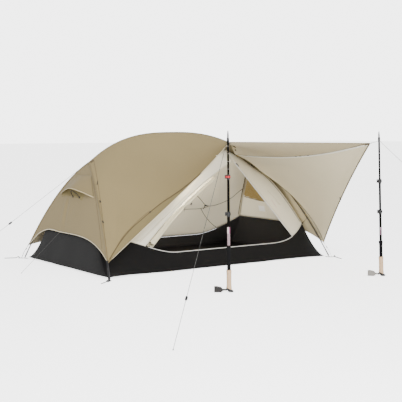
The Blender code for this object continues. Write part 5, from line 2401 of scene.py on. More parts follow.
@dataclass(frozen=True)
class Fastenings:
    """Straps, pegs and clips at the four corners and behind."""

    shape: TentShape = SHAPE
    rings: dict = field(default_factory=lambda: {
        Corner.FRONT_LEFT: (-1.098, -0.742), Corner.FRONT_RIGHT: (1.098, -0.735),
        Corner.BACK_LEFT: (-1.098, 0.742), Corner.BACK_RIGHT: (1.098, 0.735),
    })
    ends: dict = field(default_factory=lambda: {
        Corner.FRONT_LEFT: (-1.185, -0.800), Corner.FRONT_RIGHT: (1.053, -0.875),
        Corner.BACK_LEFT: (-1.215, 0.790), Corner.BACK_RIGHT: (1.053, 0.875),
    })
    peg_radius: float = 0.0029
    wire: float = 0.0015

    def build(self) -> None:
        """Builds the fastenings of each corner, and the peg behind."""
        for corner in Corner:
            self.strap(corner)
            self.peg(corner)
            self.clip(corner)
            self.fly_strap(corner)
        self.back_peg()

    def strap(self, corner: Corner) -> None:
        """The webbing on the ground, with its two eyelets.

        Args:
            corner: The ground corner.
        """
        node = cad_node(f"corner_strap_{corner.label}")
        piece = refined(f"strap_{corner.label}", node, Looks.black_tape, 0.0003)
        settle(piece, "tent", [node.name])
        sx, sy = corner.value
        foot = self.shape.leg(sx, sy, 0.0)[:2] + vec(-0.0006 * sx, -0.0015 * sy)
        for which, spot in (("foot", foot), ("peg", self.rings[corner])):
            ring = [
                (0.0046, 0.0004), (0.0050, 0.0021), (0.0058, 0.0027),
                (0.0074, 0.0024), (0.0076, 0.0020), (0.0052, 0.0003),
            ]
            place = Matrix.Translation((spot[0], spot[1], 0.0001))
            eyelet = spun(f"eyelet_{which}_{corner.label}", ring, place, (Looks.steel,), steps=28)
            settle(eyelet, "tent")

    def peg(self, corner: Corner) -> None:
        """A hooked peg that lies on the ground.

        Args:
            corner: The ground corner.
        """
        ring, end = (np.append(spots[corner], 0.0) for spots in (self.rings, self.ends))
        heading, length, thin = unit(end - ring), float(np.linalg.norm(end - ring)), self.peg_radius
        steps = [(0.000, 0.0024), (0.000, 0.0075), (0.0025, 0.0115), (0.007, 0.0128), (0.0125, 0.0105)]
        steps += [(0.018, 0.0068), (0.025, 0.0044), (0.033, thin + 0.0006)]
        steps += [(run, thin + 0.0004) for run in np.linspace(0.042, length, 8)]
        route = Route([ring + heading * run + vec(0, 0, height) for run, height in steps])
        self.rod(f"peg_{corner.label}", route, f"ground_peg_{corner.label}")

    def back_peg(self) -> None:
        """The peg that holds down the middle of the back hem, and the loop that it goes through."""
        thin = self.peg_radius
        steps = [
            (0.004, 0.050), (0.009, 0.052), (0.014, 0.048), (0.017, 0.038), (0.024, 0.022), (0.045, 0.008)
        ]
        steps += [(0.11, thin + 0.0004), (0.17, thin)]
        back = self.shape.back_peg_y + 0.004
        self.rod("peg_back", Route([vec(0, back + run, height) for run, height in steps]), "ground_peg_back")
        hem = vec(0, self.shape.back_peg_y - 0.004, 0.034)
        loop = [
            hem, hem + vec(-0.010, 0.012, 0.002),
            hem + vec(-0.006, 0.022, 0.009), hem + vec(0.0, 0.025, 0.012),
        ]
        loop += [hem + vec(0.006, 0.022, 0.009), hem + vec(0.010, 0.012, 0.002), hem + vec(0.001, 0.0, 0.0)]
        route = Route(loop)
        fine = [route(step / 30) for step in range(31)]
        settle(tube("back_peg_loop", fine, 0.0014, Looks.black_tape, 8), "tent")

    def rod(self, name: str, route: Route, node: str) -> None:
        """A wire peg with a pointed end along a route.

        Args:
            name: Name of the piece.
            route: The route.
            node: The node that it stands for.
        """
        points = [route(step / 60) for step in range(61)]
        radii = [min(self.peg_radius, 0.0006 + 0.0013 * (60 - step) / 4) for step in range(61)]
        settle(tube(name, points, radii, Looks.peg_alloy, 12), "tent", [node])

    def clip(self, corner: Corner) -> None:
        """The hook round a leg that holds up a corner of the tub.

        Args:
            corner: The ground corner.
        """
        sx, sy = corner.value
        leg = self.shape.leg
        spot = self.shape.wall_top(sx, sy)
        share = min(np.linspace(0.15, 0.5, 141), key=lambda s: float(np.linalg.norm(leg(sx, sy, s) - spot)))
        centre = leg(sx, sy, share)
        axis = unit(leg(sx, sy, share + 0.01) - centre)
        toward = spot - centre
        toward = unit(toward - axis * (toward @ axis))
        side = np.cross(axis, toward)
        radius = self.shape.pole_radius + 0.0004 + self.wire
        start = centre + toward * (np.linalg.norm(spot - centre) - 0.006)
        points = [start, centre + toward * 0.030, centre + toward * 0.014 + side * 0.002]
        for step in range(9):
            angle = math.radians(50 + 25 * step)
            points.append(centre + radius * (toward * math.cos(angle) + side * math.sin(angle)))
        route = Route(points)
        fine = [route(step / 48) for step in range(49)]
        radii = [
            0.0027 if step < 14 else max(0.0027 - 0.00016 * (step - 13), self.wire) for step in range(49)
        ]
        piece = tube(f"tub_hook_{corner.label}", fine, radii, Looks.black_plastic, 12)
        settle(piece, "tent", [f"tub_corner_clip_{corner.label}"])
        band = unit(spot - start)
        tab = framed(spot + band * 0.004, band, vec(sx, sy, 0.4))
        webbing = block(f"tub_tab_{corner.label}", tab, (0.030, 0.013, 0.0022), Looks.black_tape, 0.0008)
        settle(webbing, "tent")

    def fly_strap(self, corner: Corner) -> None:
        """The webbing from a ground corner of the fly down along the leg's foot to the ring.

        Args:
            corner: The ground corner.
        """
        sx, sy = corner.value
        top = self.shape.corner(sx, sy) + vec(0.004 * sx, 0.004 * sy, -0.004)
        low = vec(self.rings[corner][0] - 0.018 * sx, self.rings[corner][1] - 0.012 * sy, 0.0045)
        bend = lerp(top, low, 0.5) + vec(0.004 * sx, 0.004 * sy, 0.0)
        route = Route([top, bend, low])
        out = unit(vec(sx, sy, 0.6))
        strip = seam(
            f"fly_strap_{corner.label}", route, lambda share: out, 0.012, Looks.black_tape, 0.0005, 0.0, 24
        )
        settle(strip, "tent")
        heading = unit(bend - top)
        buckle = framed(lerp(top, low, 0.30) + out * 0.002, heading, out)
        size = (0.020, 0.014, 0.005)
        settle(block(f"fly_buckle_{corner.label}", buckle, size, Looks.black_plastic, 0.0018, 0.8), "tent")
        sewn = framed(top - heading * 0.012 + out * 0.0022, heading, out)
        size = (0.034, 0.020, 0.0018)
        settle(block(f"fly_patch_{corner.label}", sewn, size, Looks.black_tape, 0.0008, 0.45), "tent")


@dataclass
class Flysheet:
    """The outer tent: front, back and end panels with their seams, hems, vent and tags."""

    shape: TentShape = SHAPE
    middle: tuple[float, float, float] = (0.0, 0.0, 0.3)
    leg_tape: float = 0.026
    hem_tape: float = 0.005
    zip_ends: tuple[float, float] = (0.03, 0.719)
    zip_stations: tuple[tuple[float, float], ...] = (
        (0.52, 0.0),
        (0.61, 0.095),
        (0.65, 0.156),
        (0.704, 0.216),
        (0.757, 0.261),
        (0.812, 0.30),
        (0.862, 0.357),
        (0.908, 0.427),
        (0.947, 0.487),
        (0.974, 0.553),
        (0.99, 0.638),
        (1.0, 0.719),
    )

    lines: tuple[Sewn, ...] = (
        # A dark line beside the leg tape: painted shadow along its raised edge.
        Sewn(
            "fly_leg_tape_shadow", ((0.030, 0.02), (0.030, 0.30), (0.030, 0.66), (0.030, 0.97)),
            0.0035, Looks.seam_and_shadow_line,
        ),
        Sewn(
            "fly_zip_edge", ((0.485, 0.012), (0.585, 0.105), (0.62, 0.165), (0.735, 0.27), (0.84, 0.365)),
            0.003, Looks.seam_and_shadow_line,
        ),
    )
    tabs: tuple[Tab, ...] = (
        Tab("fly_leg_tag_high", (0.026, 0.66), (0.1, 0.2, -1.0), (0.042, 0.006, 0.0016), Looks.tag_dark),
        Tab("fly_leg_tag_middle", (0.026, 0.47), (0.1, 0.2, -1.0), (0.020, 0.012, 0.0018), Looks.tag_dark),
        Tab("fly_leg_tag_low", (0.026, 0.295), (0.1, 0.2, -1.0), (0.022, 0.012, 0.0018), Looks.tag_dark),
        Tab("fly_zip_tag", (0.862, 0.357), (1.0, 0.0, 1.0), (0.018, 0.010, 0.0030), Looks.tag_dark),
        Tab("fly_hub_patch", (0.02, 0.965), (1.0, 0.0, 0.5), (0.030, 0.018, 0.0012), Looks.dark_tape),
    )
    end_lines: tuple[Sewn, ...] = (
        # The vent's netting under the hood: painted shadow of the hood.
        Sewn(
            "vent_shadow_net", ((0.33, 0.43), (0.44, 0.452), (0.56, 0.465), (0.72, 0.470), (0.90, 0.462)),
            0.062, Looks.vent_shadow_net, 0.0014, 0.0,
        ),
        # Along the end panel's side of the leg tape: a dark line of painted shadow.
        Sewn("fly_end_tape_shadow", ((0.045, 0.04), (0.042, 0.40), (0.036, 0.78)), 0.003, Looks.seam_and_shadow_line),
    )

    def zip_share(self, v: float) -> float:
        """Where the zip seam crosses the front left panel at that height share."""
        us, vs = zip(*self.zip_stations)
        return float(np.interp(v, vs, us))

    def build(self) -> None:
        """Builds every piece of the flysheet."""
        self.front_left()
        self.front_right()
        self.back()
        for side, name in ((-1, "left"), (1, "right")):
            self.end(side, name)
        self.hood()
        for line in self.lines:
            line.build(LAID["fly_front_left"], FRONT, "fly_fabric")
        for tab in self.tabs:
            tab.build(LAID["fly_front_left"], FRONT, "fly_fabric")
        for line in self.end_lines:
            line.build(LAID["fly_left_end"], FRONT, "fly_fabric")

    def front_left(self) -> None:
        """The big front panel with its zip and its door hem."""
        surface = self.shape.front_left

        def mark(u: float, v: float) -> float:
            """1 beyond the zip's seam and 0 before it."""
            return ease(u - self.zip_share(v), 0.0, 0.01)

        creases = (
            Crease((-0.86, -0.30, 0.62), (-0.98, -0.58, 0.25), 0.05, -0.006),
            Crease((-0.80, -0.40, 0.50), (-1.0, -0.62, 0.18), 0.03, 0.004),
        )
        panel = Cloth(
            "fly_front_left", surface, (110, 80), Looks.fly_outside, Looks.fly_inside, (0, -1, 0.7),
            creases=creases, ripple=0.003, ripple_size=0.3, mark=mark,
        ).build()
        trims = [self.door_hem(surface), self.zip_tape(surface)]
        settle(panel, "tent", ["fly_front_left_panel"])

    def door_hem(self, surface: Surface) -> bpy.types.Object:
        """Pale binding of the diagonal door hem.

        Args:
            surface: The cloth's surface.

        Returns:
            The piece.
        """
        inward = Edge.RIGHT.inward(surface)
        hem = Binding(
            "fly_door_hem", Edge.RIGHT.curve(surface), inward, self.hem_tape, Looks.pale_tape, (0, -1, 0.7)
        )
        hem.ends = (0.03, 0.985)
        return settle(hem.build(), "tent")

    def zip_tape(self, surface: Surface) -> bpy.types.Object:
        """The tape over the zip that runs along the door.

        Args:
            surface: The cloth's surface.

        Returns:
            The piece.
        """

        def curve(share: float) -> Point:
            """A point of the zip's line."""
            v = lerp(*self.zip_ends, share)
            return surface(min(self.zip_share(v), 0.995), v)

        def side(share: float) -> Point:
            """The direction across the tape.

            Args:
                share: Share of the way along, from 0 to 1.

            Returns:
                The direction.
            """
            v = lerp(*self.zip_ends, share)
            u = min(self.zip_share(v), 0.97)
            return unit(surface(u + 0.02, v) - surface(u, v))

        outside = from_middle((0.0, 0.4, 0.2), curve)
        strip = Tape(
            "fly_zip", curve, flat_side(side), side, outside, 0.010, Looks.dark_tape, 0.0014, 0.0016, 90
        )
        return settle(strip.build(), "tent")

    def front_right(self) -> None:
        """The narrow strip over the right leg. Its underside takes the bright awning finish as painted light
        shining through the cloth.
        """
        panel = Cloth(
            "fly_front_right", self.shape.front_right, (110, 12), Looks.fly_outside, Looks.awning_inside,
            (0.5, -1, 0.7), ripple=0.002,
        ).build()
        settle(panel, "tent", ["fly_front_right_strip"])

    def back(self) -> None:
        """The closed back panel."""
        panel = Cloth(
            "fly_back", self.shape.back, (130, 70), Looks.fly_outside, Looks.fly_inside, (0, 1, 0.7),
            creases=(Crease((0.0, 0.35, 0.75), (0.0, 1.24, 0.06), 0.05, 0.006),),
            ripple=0.004, ripple_size=0.35,
        ).build()
        settle(panel, "tent", ["fly_back_panel"])

    def end(self, side: int, name: str) -> None:
        """An end panel with its arched hem and the tapes over its two legs.

        Args:
            side: -1 for the left side, 1 for the right.
            name: Name of the side.
        """
        surface = self.shape.end(side)
        creases = ()
        if side < 0:
            creases = (
                Crease((-0.945, 0.12, 0.54), (-0.995, 0.10, 0.30), 0.018, -0.006),
                Crease((-0.945, 0.16, 0.54), (-0.995, 0.15, 0.30), 0.020, 0.004),
                Crease((-0.96, -0.02, 0.50), (-0.99, 0.09, 0.33), 0.012, -0.002),
            )
        panel = Cloth(
            f"fly_{name}_end", surface, (72, 60), Looks.fly_outside, Looks.fly_inside, (side, 0, 0.4),
            creases=creases, ripple=0.004, ripple_size=0.22,
        ).build()
        hem = Binding(
            f"fly_{name}_end_hem", Edge.LOW.curve(surface),
            Edge.LOW.inward(surface), 0.0045, Looks.pale_tape,
            (side, 0, 0.2),
        ).build()
        settle(panel, "tent", [f"fly_{name}_end_panel"])
        settle(hem, "tent")
        for sy, end in ((-1, "front"), (1, "back")):
            self.leg_seam(side, sy, f"fly_{end}_{name}_seam")

    def leg_seam(self, sx: int, sy: int, name: str) -> bpy.types.Object:
        """The sleeve over a leg, where two panels meet.

        Args:
            sx: -1 for the left side, 1 for the right.
            sy: -1 for the front side, 1 for the back.
            name: Name of the piece.

        Returns:
            The piece.
        """
        end = self.shape.end(sx)
        other = {
            (-1, -1): self.shape.front_left, (1, -1): self.shape.front_right
        }.get((sx, sy), self.shape.back)

        def curve(share: float) -> Point:
            """A point over the leg."""
            return self.shape.fly_leg(sx, sy, lerp(self.shape.fly_corner + 0.004, 0.992, share))

        def end_side(share: float) -> Point:
            """The direction from the leg over the end panel.

            Args:
                share: Share of the way along, from 0 to 1.

            Returns:
                The direction.
            """
            edge = 0.0 if sy < 0 else 1.0
            v = lerp(0.0, 0.9, share)
            return unit(end(0.5, v) - end(edge, v))

        def face_side(share: float) -> Point:
            """The direction from the leg over the front or back panel.

            Args:
                share: Share of the way along, from 0 to 1.

            Returns:
                The direction.
            """
            if (sx, sy) == (-1, -1):
                return unit(other(0.1, max(share, 0.04)) - other(0.0, max(share, 0.04)))
            if (sx, sy) == (1, -1):
                u = lerp(1.0, 0.26, share) - 0.02
                return unit(other(u, 0.9) - other(u, 0.0))
            u = 0.0 if sx < 0 else 1.0
            v = 1 - min(share, 0.97)
            return unit(other(abs(u - 0.06), v) - other(u, v))

        outside = from_middle(self.middle, curve)
        strip = Tape(
            name, curve, end_side, face_side, outside, self.leg_tape, Looks.fly_tape, 0.0016, 0.0022, 80
        )
        return settle(strip.build(), "tent")

    def hood(self) -> None:
        """The vent hood with its bound rim."""
        surface = self.shape.hood
        panel = Cloth(
            "vent_hood_cloth", surface, (60, 20), Looks.fly_outside, Looks.fly_inside, (-0.6, 0, 1),
            ripple=0.002, ripple_size=0.12, margin=0.03, hemmed=(Edge.HIGH,),
        ).build()
        rim = Binding(
            "vent_hood_rim", Edge.HIGH.curve(surface),
            Edge.HIGH.inward(surface, 0.2), 0.0042, Looks.rim_tape, (-0.6, 0, 1)
        ).build()
        settle(panel, "tent", ["vent_hood"])
        settle(rim, "tent")


@dataclass
class Awning:
    """The raised door panel, folded along its middle seam."""

    shape: TentShape = SHAPE
    hem_width: float = 0.007
    arch_run: tuple[float, float] = (0.08, 0.955)
    arch_side_run: tuple[float, float] = (0.08, 0.93)
    arch_outside: tuple[float, float, float] = (-0.7, -0.7, -0.1)

    def build(self) -> None:
        """Builds the panel, its bindings, its tapes and its fittings."""
        creases = (
            Crease((0.60, -1.55, 0.96), (0.80, -1.05, 0.62), 0.05, 0.006),
            Crease((0.55, -0.18, 0.86), (0.78, -0.80, 0.72), 0.04, -0.004),
        )
        panel = Cloth(
            "awning_cloth", self.shape.awning, (120, 80), Looks.awning_outside, Looks.awning_inside,
            (0, 0, 1), creases=creases, ripple=0.004, ripple_size=0.4, mark=self.shade,
        ).build()
        roof, wall = self.shape.awning_roof, self.shape.awning_wall
        free, left = Edge.HIGH.inward(wall), Edge.LEFT.inward(roof, 0.05)
        hems = (
            ("free", self.shape.awning_free_edge, free, Looks.dark_tape, (1, 0, 0.3), (0.01, 0.985)),
            (
                "front", Edge.HIGH.curve(roof), Edge.HIGH.inward(roof),
                Looks.fly_tape, (0, 0, 1), (0.01, 0.99),
            ),
            ("left", Edge.LEFT.curve(roof), left, Looks.fly_tape, (0, 0, 1), (0.02, 0.99)),
        )
        trims = [self.fold_tape(), *[self.hem(*values) for values in hems], self.arch_tape()]
        settle(panel, "tent", ["awning_panel"])
        self.fittings()
        arch = self.shape.arch_seam()
        coil = seam(
            "awning_arch_coil", lambda s: arch(lerp(*self.arch_run, s)), lambda s: vec(*self.arch_outside),
            0.0045, Looks.dark_tape, 0.0036, 0.0012, 90,
        )
        settle(coil, "tent")

    def shade(self, u: float, v: float) -> float:
        """How much painted shade the underside shows: most on the outer roof and none on the wall."""
        return (1.0 - ease(u, 0.496, 0.504)) * lerp(0.25, 1.0, ease(v, 0.06, 0.4))

    def fittings(self) -> None:
        """The tapes along the fold, the toggles and tags below it and a patch at each corner."""
        laid, shape = LAID["awning_cloth"], self.shape

        def roof(u: float, v: float) -> Point:
            """The roof half of the laid cloth."""
            return laid(0.5 * u, v)

        def wall(u: float, v: float) -> Point:
            """The wall half of the laid cloth."""
            return laid(0.5 + 0.5 * u, v)

        for name, u, width, finish in (
            ("pale", 0.505, 0.012, Looks.fold_tape), ("dark", 0.494, 0.0035, Looks.seam_and_shadow_line)
        ):
            line = Sewn(
                f"awning_fold_{name}", ((u, 0.03), (u, 0.35), (u, 0.68), (u, 0.985)),
                width, finish, 0.0022, 0.0006, 60,
            )
            line.build(laid, BELOW, "awning_fabric")
        Sewn(
            "awning_toggle_tape", ((0.20, 0.03), (0.20, 0.10), (0.21, 0.16)), 0.006, Looks.black_tape
        ).build(roof, BELOW, "awning_fabric")
        Tab(
            "awning_toggle_bar", (0.205, 0.165), (1, 0, 0), (0.034, 0.009, 0.009), Looks.black_plastic, 0.004
        ).build(roof, BELOW, "awning_fabric")
        Tab(
            "awning_toggle_low", (0.60, 0.05), (0, 0, 1), (0.014, 0.010, 0.008), Looks.black_plastic, 0.003
        ).build(roof, BELOW, "awning_fabric")
        for index, share in enumerate((0.50, 0.532, 0.59)):
            tab = Tab(
                f"awning_fold_tag_{index}", (0.985, share), (0.1, -1, 0),
                (0.020, 0.009, 0.004), Looks.tag_dark, 0.0015,
            )
            tab.build(roof, BELOW, "awning_fabric")
        Tab(
            "awning_edge_tag", (0.547, 0.985), (0, 0, 1), (0.024, 0.010, 0.003), Looks.tag_dark
        ).build(wall, BELOW, "awning_fabric")
        for side, corner, inward in (
            ("left", shape.awning_left, (0.45, 0.6, 0)), ("right", shape.awning_right, (-0.4, 0.7, -0.3))
        ):
            along = unit(inward)
            place = framed(np.array(corner) + along * 0.022 - vec(0, 0, 0.002), along, (0.1, 0, 1))
            size = (0.044, 0.020, 0.0024)
            sewn = block(f"awning_{side}_corner_patch", place, size, Looks.dark_tape, 0.001, 1.7)
            settle(sewn, "tent")

    def fold_tape(self) -> bpy.types.Object:
        """The pale tape under the fold.

        Returns:
            The piece.
        """
        roof = Edge.RIGHT.inward(self.shape.awning_roof)
        wall = Edge.LEFT.inward(self.shape.awning_wall)
        strip = Tape(
            "awning_fold_tape", lambda s: self.shape.awning_fold(lerp(0.01, 0.99, s)), roof, wall,
            lambda s: vec(-0.6, 0, -1), 0.011, Looks.fold_tape, 0.0022, 0.0, 70,
        )
        return settle(strip.build(), "tent")

    def hem(
        self, name: str, curve: Curve, inward: Curve, finish: Finish, outside: tuple, ends: tuple
    ) -> bpy.types.Object:
        """Binding of one edge.

        Args:
            name: Name of the edge.
            curve: The edge's line.
            inward: Direction from the edge into the cloth.
            finish: Its finish.
            outside: Direction away from the cloth.
            ends: Shares of the edge between which it runs.

        Returns:
            The piece.
        """
        binding = Binding(f"awning_{name}_hem", curve, inward, self.hem_width, finish, outside, ends=ends)
        return settle(binding.build(), "tent")

    def arch_tape(self) -> bpy.types.Object:
        """The pale tape along the arched seam, where the panel leaves the tent.

        Returns:
            The piece.
        """
        arch = self.shape.arch_seam()
        wall = Edge.LOW.inward(self.shape.awning_wall, 0.03)
        strip_side = Edge.HIGH.inward(self.shape.front_right, 0.5)
        strip = Tape(
            "awning_arch_zip", lambda s: arch(lerp(*self.arch_run, s)),
            lambda s: strip_side(lerp(*self.arch_side_run, s)), lambda s: wall(lerp(*self.arch_side_run, s)),
            lambda s: vec(*self.arch_outside), 0.013, Looks.pale_tape, 0.0014, 0.001, 80,
        )
        return settle(strip.build(), "tent")


@dataclass
class InnerTent:
    """The inner tent with its open door, and the floor tub."""

    shape: TentShape = SHAPE
    net_seam: tuple[float, float] = (0.205, 0.06)
    corner_lift: float = 0.010
    floor_lift: float = 0.0028
    floor_share: float = 0.35
    roll_span: tuple[float, float] = (0.05, 0.78)
    roll_shift: tuple[float, float, float] = (0.005, 0.017, -0.027)
    roll_radii: tuple[float, float] = (0.030, 0.012)
    tie_share: float = 0.42
    lifted_from: tuple[float, float] = (0.45, 1.0)
    back_lines: tuple[Sewn, ...] = (
        Sewn(
            "inner_back_seam_net",
            ((0.712, 0.403), (0.77, 0.325), (0.835, 0.252), (0.885, 0.255), (0.928, 0.273), (0.99, 0.375)),
            0.006, Looks.inner_tape,
        ),
        Sewn("inner_back_seam_low", ((0.791, 0.23), (0.845, 0.12), (0.899, 0.012)), 0.005, Looks.inner_tape),
        Sewn(
            "inner_back_seam_left", ((0.655, 0.216), (0.72, 0.222), (0.791, 0.23), (0.835, 0.252)),
            0.005, Looks.inner_tape,
        ),
        Sewn("inner_back_seam_high", ((0.80, 0.62), (0.79, 0.50), (0.775, 0.33)), 0.003, Looks.pale_tape),
        Sewn(
            "inner_back_seam_pale", ((0.835, 0.741), (0.86, 0.52), (0.885, 0.262)), 0.0035, Looks.pale_tape
        ),
        Sewn(
            "inner_back_corner_seam",
            ((0.992, 0.03), (0.992, 0.22), (0.992, 0.42), (0.990, 0.64)), 0.007, Looks.inner_tape,
        ),
        Sewn("inner_back_pocket", ((0.665, 0.36), (0.69, 0.29), (0.70, 0.20)), 0.003, Looks.inner_tape),
    )
    back_tabs: tuple[Tab, ...] = (
        Tab(
            "inner_toggle_one", (0.669, 0.281), (0.2, 0, 1),
            (0.016, 0.010, 0.008), Looks.black_plastic, 0.003,
        ),
        Tab(
            "inner_toggle_two", (0.727, 0.273), (0.2, 0, 1),
            (0.020, 0.010, 0.008), Looks.black_plastic, 0.003,
        ),
        Tab(
            "inner_toggle_three", (0.813, 0.262), (1.0, 0, 0.2),
            (0.030, 0.009, 0.008), Looks.black_plastic, 0.003,
        ),
        Tab(
            "inner_toggle_stem", (0.808, 0.240), (0.1, 0, 1), (0.030, 0.006, 0.004), Looks.black_tape, 0.001
        ),
    )
    end_lines: tuple[Sewn, ...] = (
        Sewn(
            "inner_end_seam", ((0.97, 0.25), (0.75, 0.226), (0.504, 0.209), (0.25, 0.22), (0.03, 0.26)),
            0.006, Looks.inner_tape,
        ),
        Sewn("inner_end_seam_post", ((0.504, 0.209), (0.51, 0.10), (0.515, 0.01)), 0.003, Looks.pale_tape),
    )
    front_lines: tuple[Sewn, ...] = (
        Sewn(
            "inner_right_seam", ((0.93, 0.03), (0.92, 0.30), (0.90, 0.62), (0.86, 0.92)),
            0.006, Looks.inner_tape,
        ),
        Sewn(
            "inner_right_zip_edge", ((0.09, 0.02), (0.075, 0.30), (0.06, 0.60), (0.03, 0.90)),
            0.004, Looks.pale_tape,
        ),
        Sewn(
            "inner_right_strap", ((0.446, 0.504), (0.48, 0.40), (0.504, 0.295), (0.43, 0.36)),
            0.0035, Looks.pale_tape,
        ),
        Sewn("inner_right_rose_line", ((0.30, 0.40), (0.27, 0.31)), 0.003, Looks.rose_tape),
    )
    # Pale lines along the crests of the gathered folds beside the door: painted highlights.
    left_lines: tuple[Sewn, ...] = (
        Sewn(
            "inner_left_rib_highlight_one", ((0.80, 0.012), (0.842, 0.029), (0.90, 0.10), (0.94, 0.22)),
            0.004, Looks.pale_tape,
        ),
        Sewn(
            "inner_left_rib_highlight_two", ((0.86, 0.010), (0.914, 0.094), (0.955, 0.26), (0.965, 0.50)),
            0.004, Looks.pale_tape,
        ),
    )

    def build(self) -> None:
        """Builds every piece of the inner tent."""
        self.tub()
        self.back_wall()
        self.end_walls()
        self.front_walls()
        self.door()
        for line in self.back_lines:
            line.build(LAID["inner_back"], FRONT, "inner_fabric")
        for tab in self.back_tabs:
            tab.build(LAID["inner_back"], FRONT, "inner_fabric")
        for line in self.end_lines:
            line.build(LAID["inner_right_end"], FRONT, "inner_fabric")
        label = Tab("inner_label", (0.60, 0.115), (0, 1, 0), (0.085, 0.052, 0.0012), Looks.label_cloth)
        label.build(LAID["inner_right_end"], FRONT, "inner_fabric")
        for line in self.front_lines:
            line.build(LAID["inner_front_right"], FRONT, "inner_fabric")
        for line in self.left_lines:
            line.build(LAID["inner_front_left"], FRONT, "inner_fabric")

    def door(self) -> None:
        """The gathered door, the toggle that holds it, its zips and its slider."""
        shape = self.shape

        def gathered(u: float, v: float) -> Point:
            """A point of the gathered cloth.

            Args:
                u: Place round the roll, from 0 to 1.
                v: Place up the roll, from 0 to 1.

            Returns:
                The point.
            """
            share = lerp(*self.roll_span, v)
            centre = shape.door_left_edge(share * shape.door_reach) + np.array(self.roll_shift)
            ahead = shape.door_left_edge((share + 0.01) * shape.door_reach)
            direction = unit(ahead - shape.door_left_edge((share - 0.01) * shape.door_reach))
            side = unit(np.cross(direction, vec(0, 0, 1)))
            up = np.cross(side, direction)
            angle = math.tau * u
            tied = 1 - 0.45 * math.exp(-(((share - self.tie_share) / 0.02) ** 2))
            folds = 0.28 * math.cos(5 * angle + 1.5 * v) + 0.07 * math.cos(11 * angle - 4.0 * v)
            radius = lerp(*self.roll_radii, share) * (1 + folds) * tied
            return centre + side * radius * math.cos(angle) + up * radius * 0.8 * math.sin(angle)

        roll = Cloth(
            "inner_door_roll", gathered, (72, 60), Looks.inner_roll,
            Looks.inner_roll, (0, -1, 0.5), hemmed=(),
        )
        settle(roll.build(), "tent", ["inner_door_flap"])
        middle = gathered(0.62, 0.507)
        toggle = framed(middle + vec(-0.004, -0.008, 0.002), vec(0.6, -0.1, 0.7), (0, -1, 0.3))
        bar = block("inner_door_toggle", toggle, (0.026, 0.008, 0.008), Looks.black_plastic, 0.0035)
        settle(bar, "tent")
        self.door_zips()
        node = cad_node("inner_door_zip_slider")
        slider = refined("zip_slider_body", node, Looks.black_plastic, 0.0006)
        settle(slider, "zip_slider", [node.name])

    def door_zips(self) -> None:
        """The white zips along the sill and up the right side of the door."""
        shape = self.shape
        stations = np.linspace(shape.door_left[0] + 0.02, shape.door_right[0], 40)
        sill = Route([shape.wall_top(x, -1) + vec(0, -0.0030, 0.0022) for x in stations])
        rim = seam(
            "inner_door_sill_zip", sill, lambda share: vec(0, -0.75, 0.66),
            0.0060, Looks.zip_white, 0.0006, 0.0008, 90,
        )
        settle(rim, "tent")

        def edge(share: float) -> Point:
            """The line of the side zip."""
            return shape.door_right_edge(lerp(0.0, shape.door_reach, share))

        side = seam(
            "inner_door_side_zip", edge, lambda share: vec(-0.45, -0.75, 0.5),
            0.0065, Looks.zip_white, 0.0012, 0.0008, 80,
        )
        settle(side, "tent")

    def tub(self) -> None:
        """The floor and its walls, one cloth whose corners are folded."""

        def surface(u: float, v: float) -> Point:
            """A point of the tub.

            Args:
                u: Place round the tub, from 0 to 1.
                v: Place outwards, from the floor's middle at 0 to the rim at 1.

            Returns:
                The point.
            """
            floor, top, nearness = self.shape.tub_rim(min(4 * u, 3.9999) if u < 1 else 0.0)
            laid = self.floor_share
            if v < laid:
                raised = self.corner_lift * ease(
                    -floor[0] * v / laid, *self.lifted_from
                ) * ease(v, 0.25, laid)
                return floor * (v / laid) + vec(0, 0, self.floor_lift + raised)
            share = (v - laid) / (1 - laid)
            plan = lerp(floor, top, share ** lerp(1.0, 0.6, nearness**8))
            raised = self.corner_lift * ease(-plan[0], *self.lifted_from) * (1 - share)
            return vec(plan[0], plan[1], top[2] * share + raised + self.floor_lift * (1 - share))

        panel = Cloth(
            "floor_tub_cloth", surface, (240, 34), Looks.floor_outside, Looks.floor_inside, (0, 0, -1),
            ripple=0.0022, ripple_size=0.16, hemmed=(Edge.HIGH,), margin=0.05,
            # 1 on the floor and 0 up the walls, so that the floor inside is painted darker: painted shade.
            mark=lambda u, v: 1.0 - ease(v, 0.33, 0.37),
        ).build()
        settle(panel, "tent", ["floor_tub"])

    def back_wall(self) -> None:
        """The back wall."""
        panel = Cloth(
            "inner_back", self.shape.inner_back, (110, 60),
            Looks.inner_cloth, Looks.inner_cloth, (0, 1, 0.5),
            ripple=0.006, ripple_size=0.3,
        ).build()
        settle(panel, "tent", ["inner_back_panel"])

    def end_walls(self) -> None:
        """The two end walls: netting above cloth, the netting painted dark brown as the shade seen through
        it.
        """
        for side, name in ((-1, "left"), (1, "right")):
            panel = Cloth(
                f"inner_{name}_end", self.shape.inner_end(side),
                (50, 50), Looks.inner_cloth, Looks.inner_cloth,
                (side, 0, 0.5), ripple=0.004, ripple_size=0.2,
                mark=lambda u, v: ease(
                    v - self.net_seam[0] - self.net_seam[1] * (2 * u - 1) ** 2, 0.0, 0.01
                ),
            ).build()
            settle(panel, "tent", [f"inner_{name}_end_panel"])

    def front_walls(self) -> None:
        """The two fixed front panels beside the open door."""
        left = Cloth(
            "inner_front_left", self.shape.inner_front_left, (80, 70), Looks.inner_sheer, Looks.inner_sheer,
            (0, -1, 0.5), ripple=0.007, ripple_size=0.18, margin=0.14,
            mark=lambda u, v: 1.0 - ease(u, 0.70, 0.90),
        ).build()
        settle(left, "tent", ["inner_front_left_panel"])
        right = Cloth(
            "inner_front_right", self.shape.inner_front_right,
            (36, 80), Looks.inner_sheer, Looks.inner_sheer,
            (0.5, -1, 0.5), ripple=0.004, ripple_size=0.15,
        ).build()
        settle(right, "tent", ["inner_front_right_panel"])


# Stage

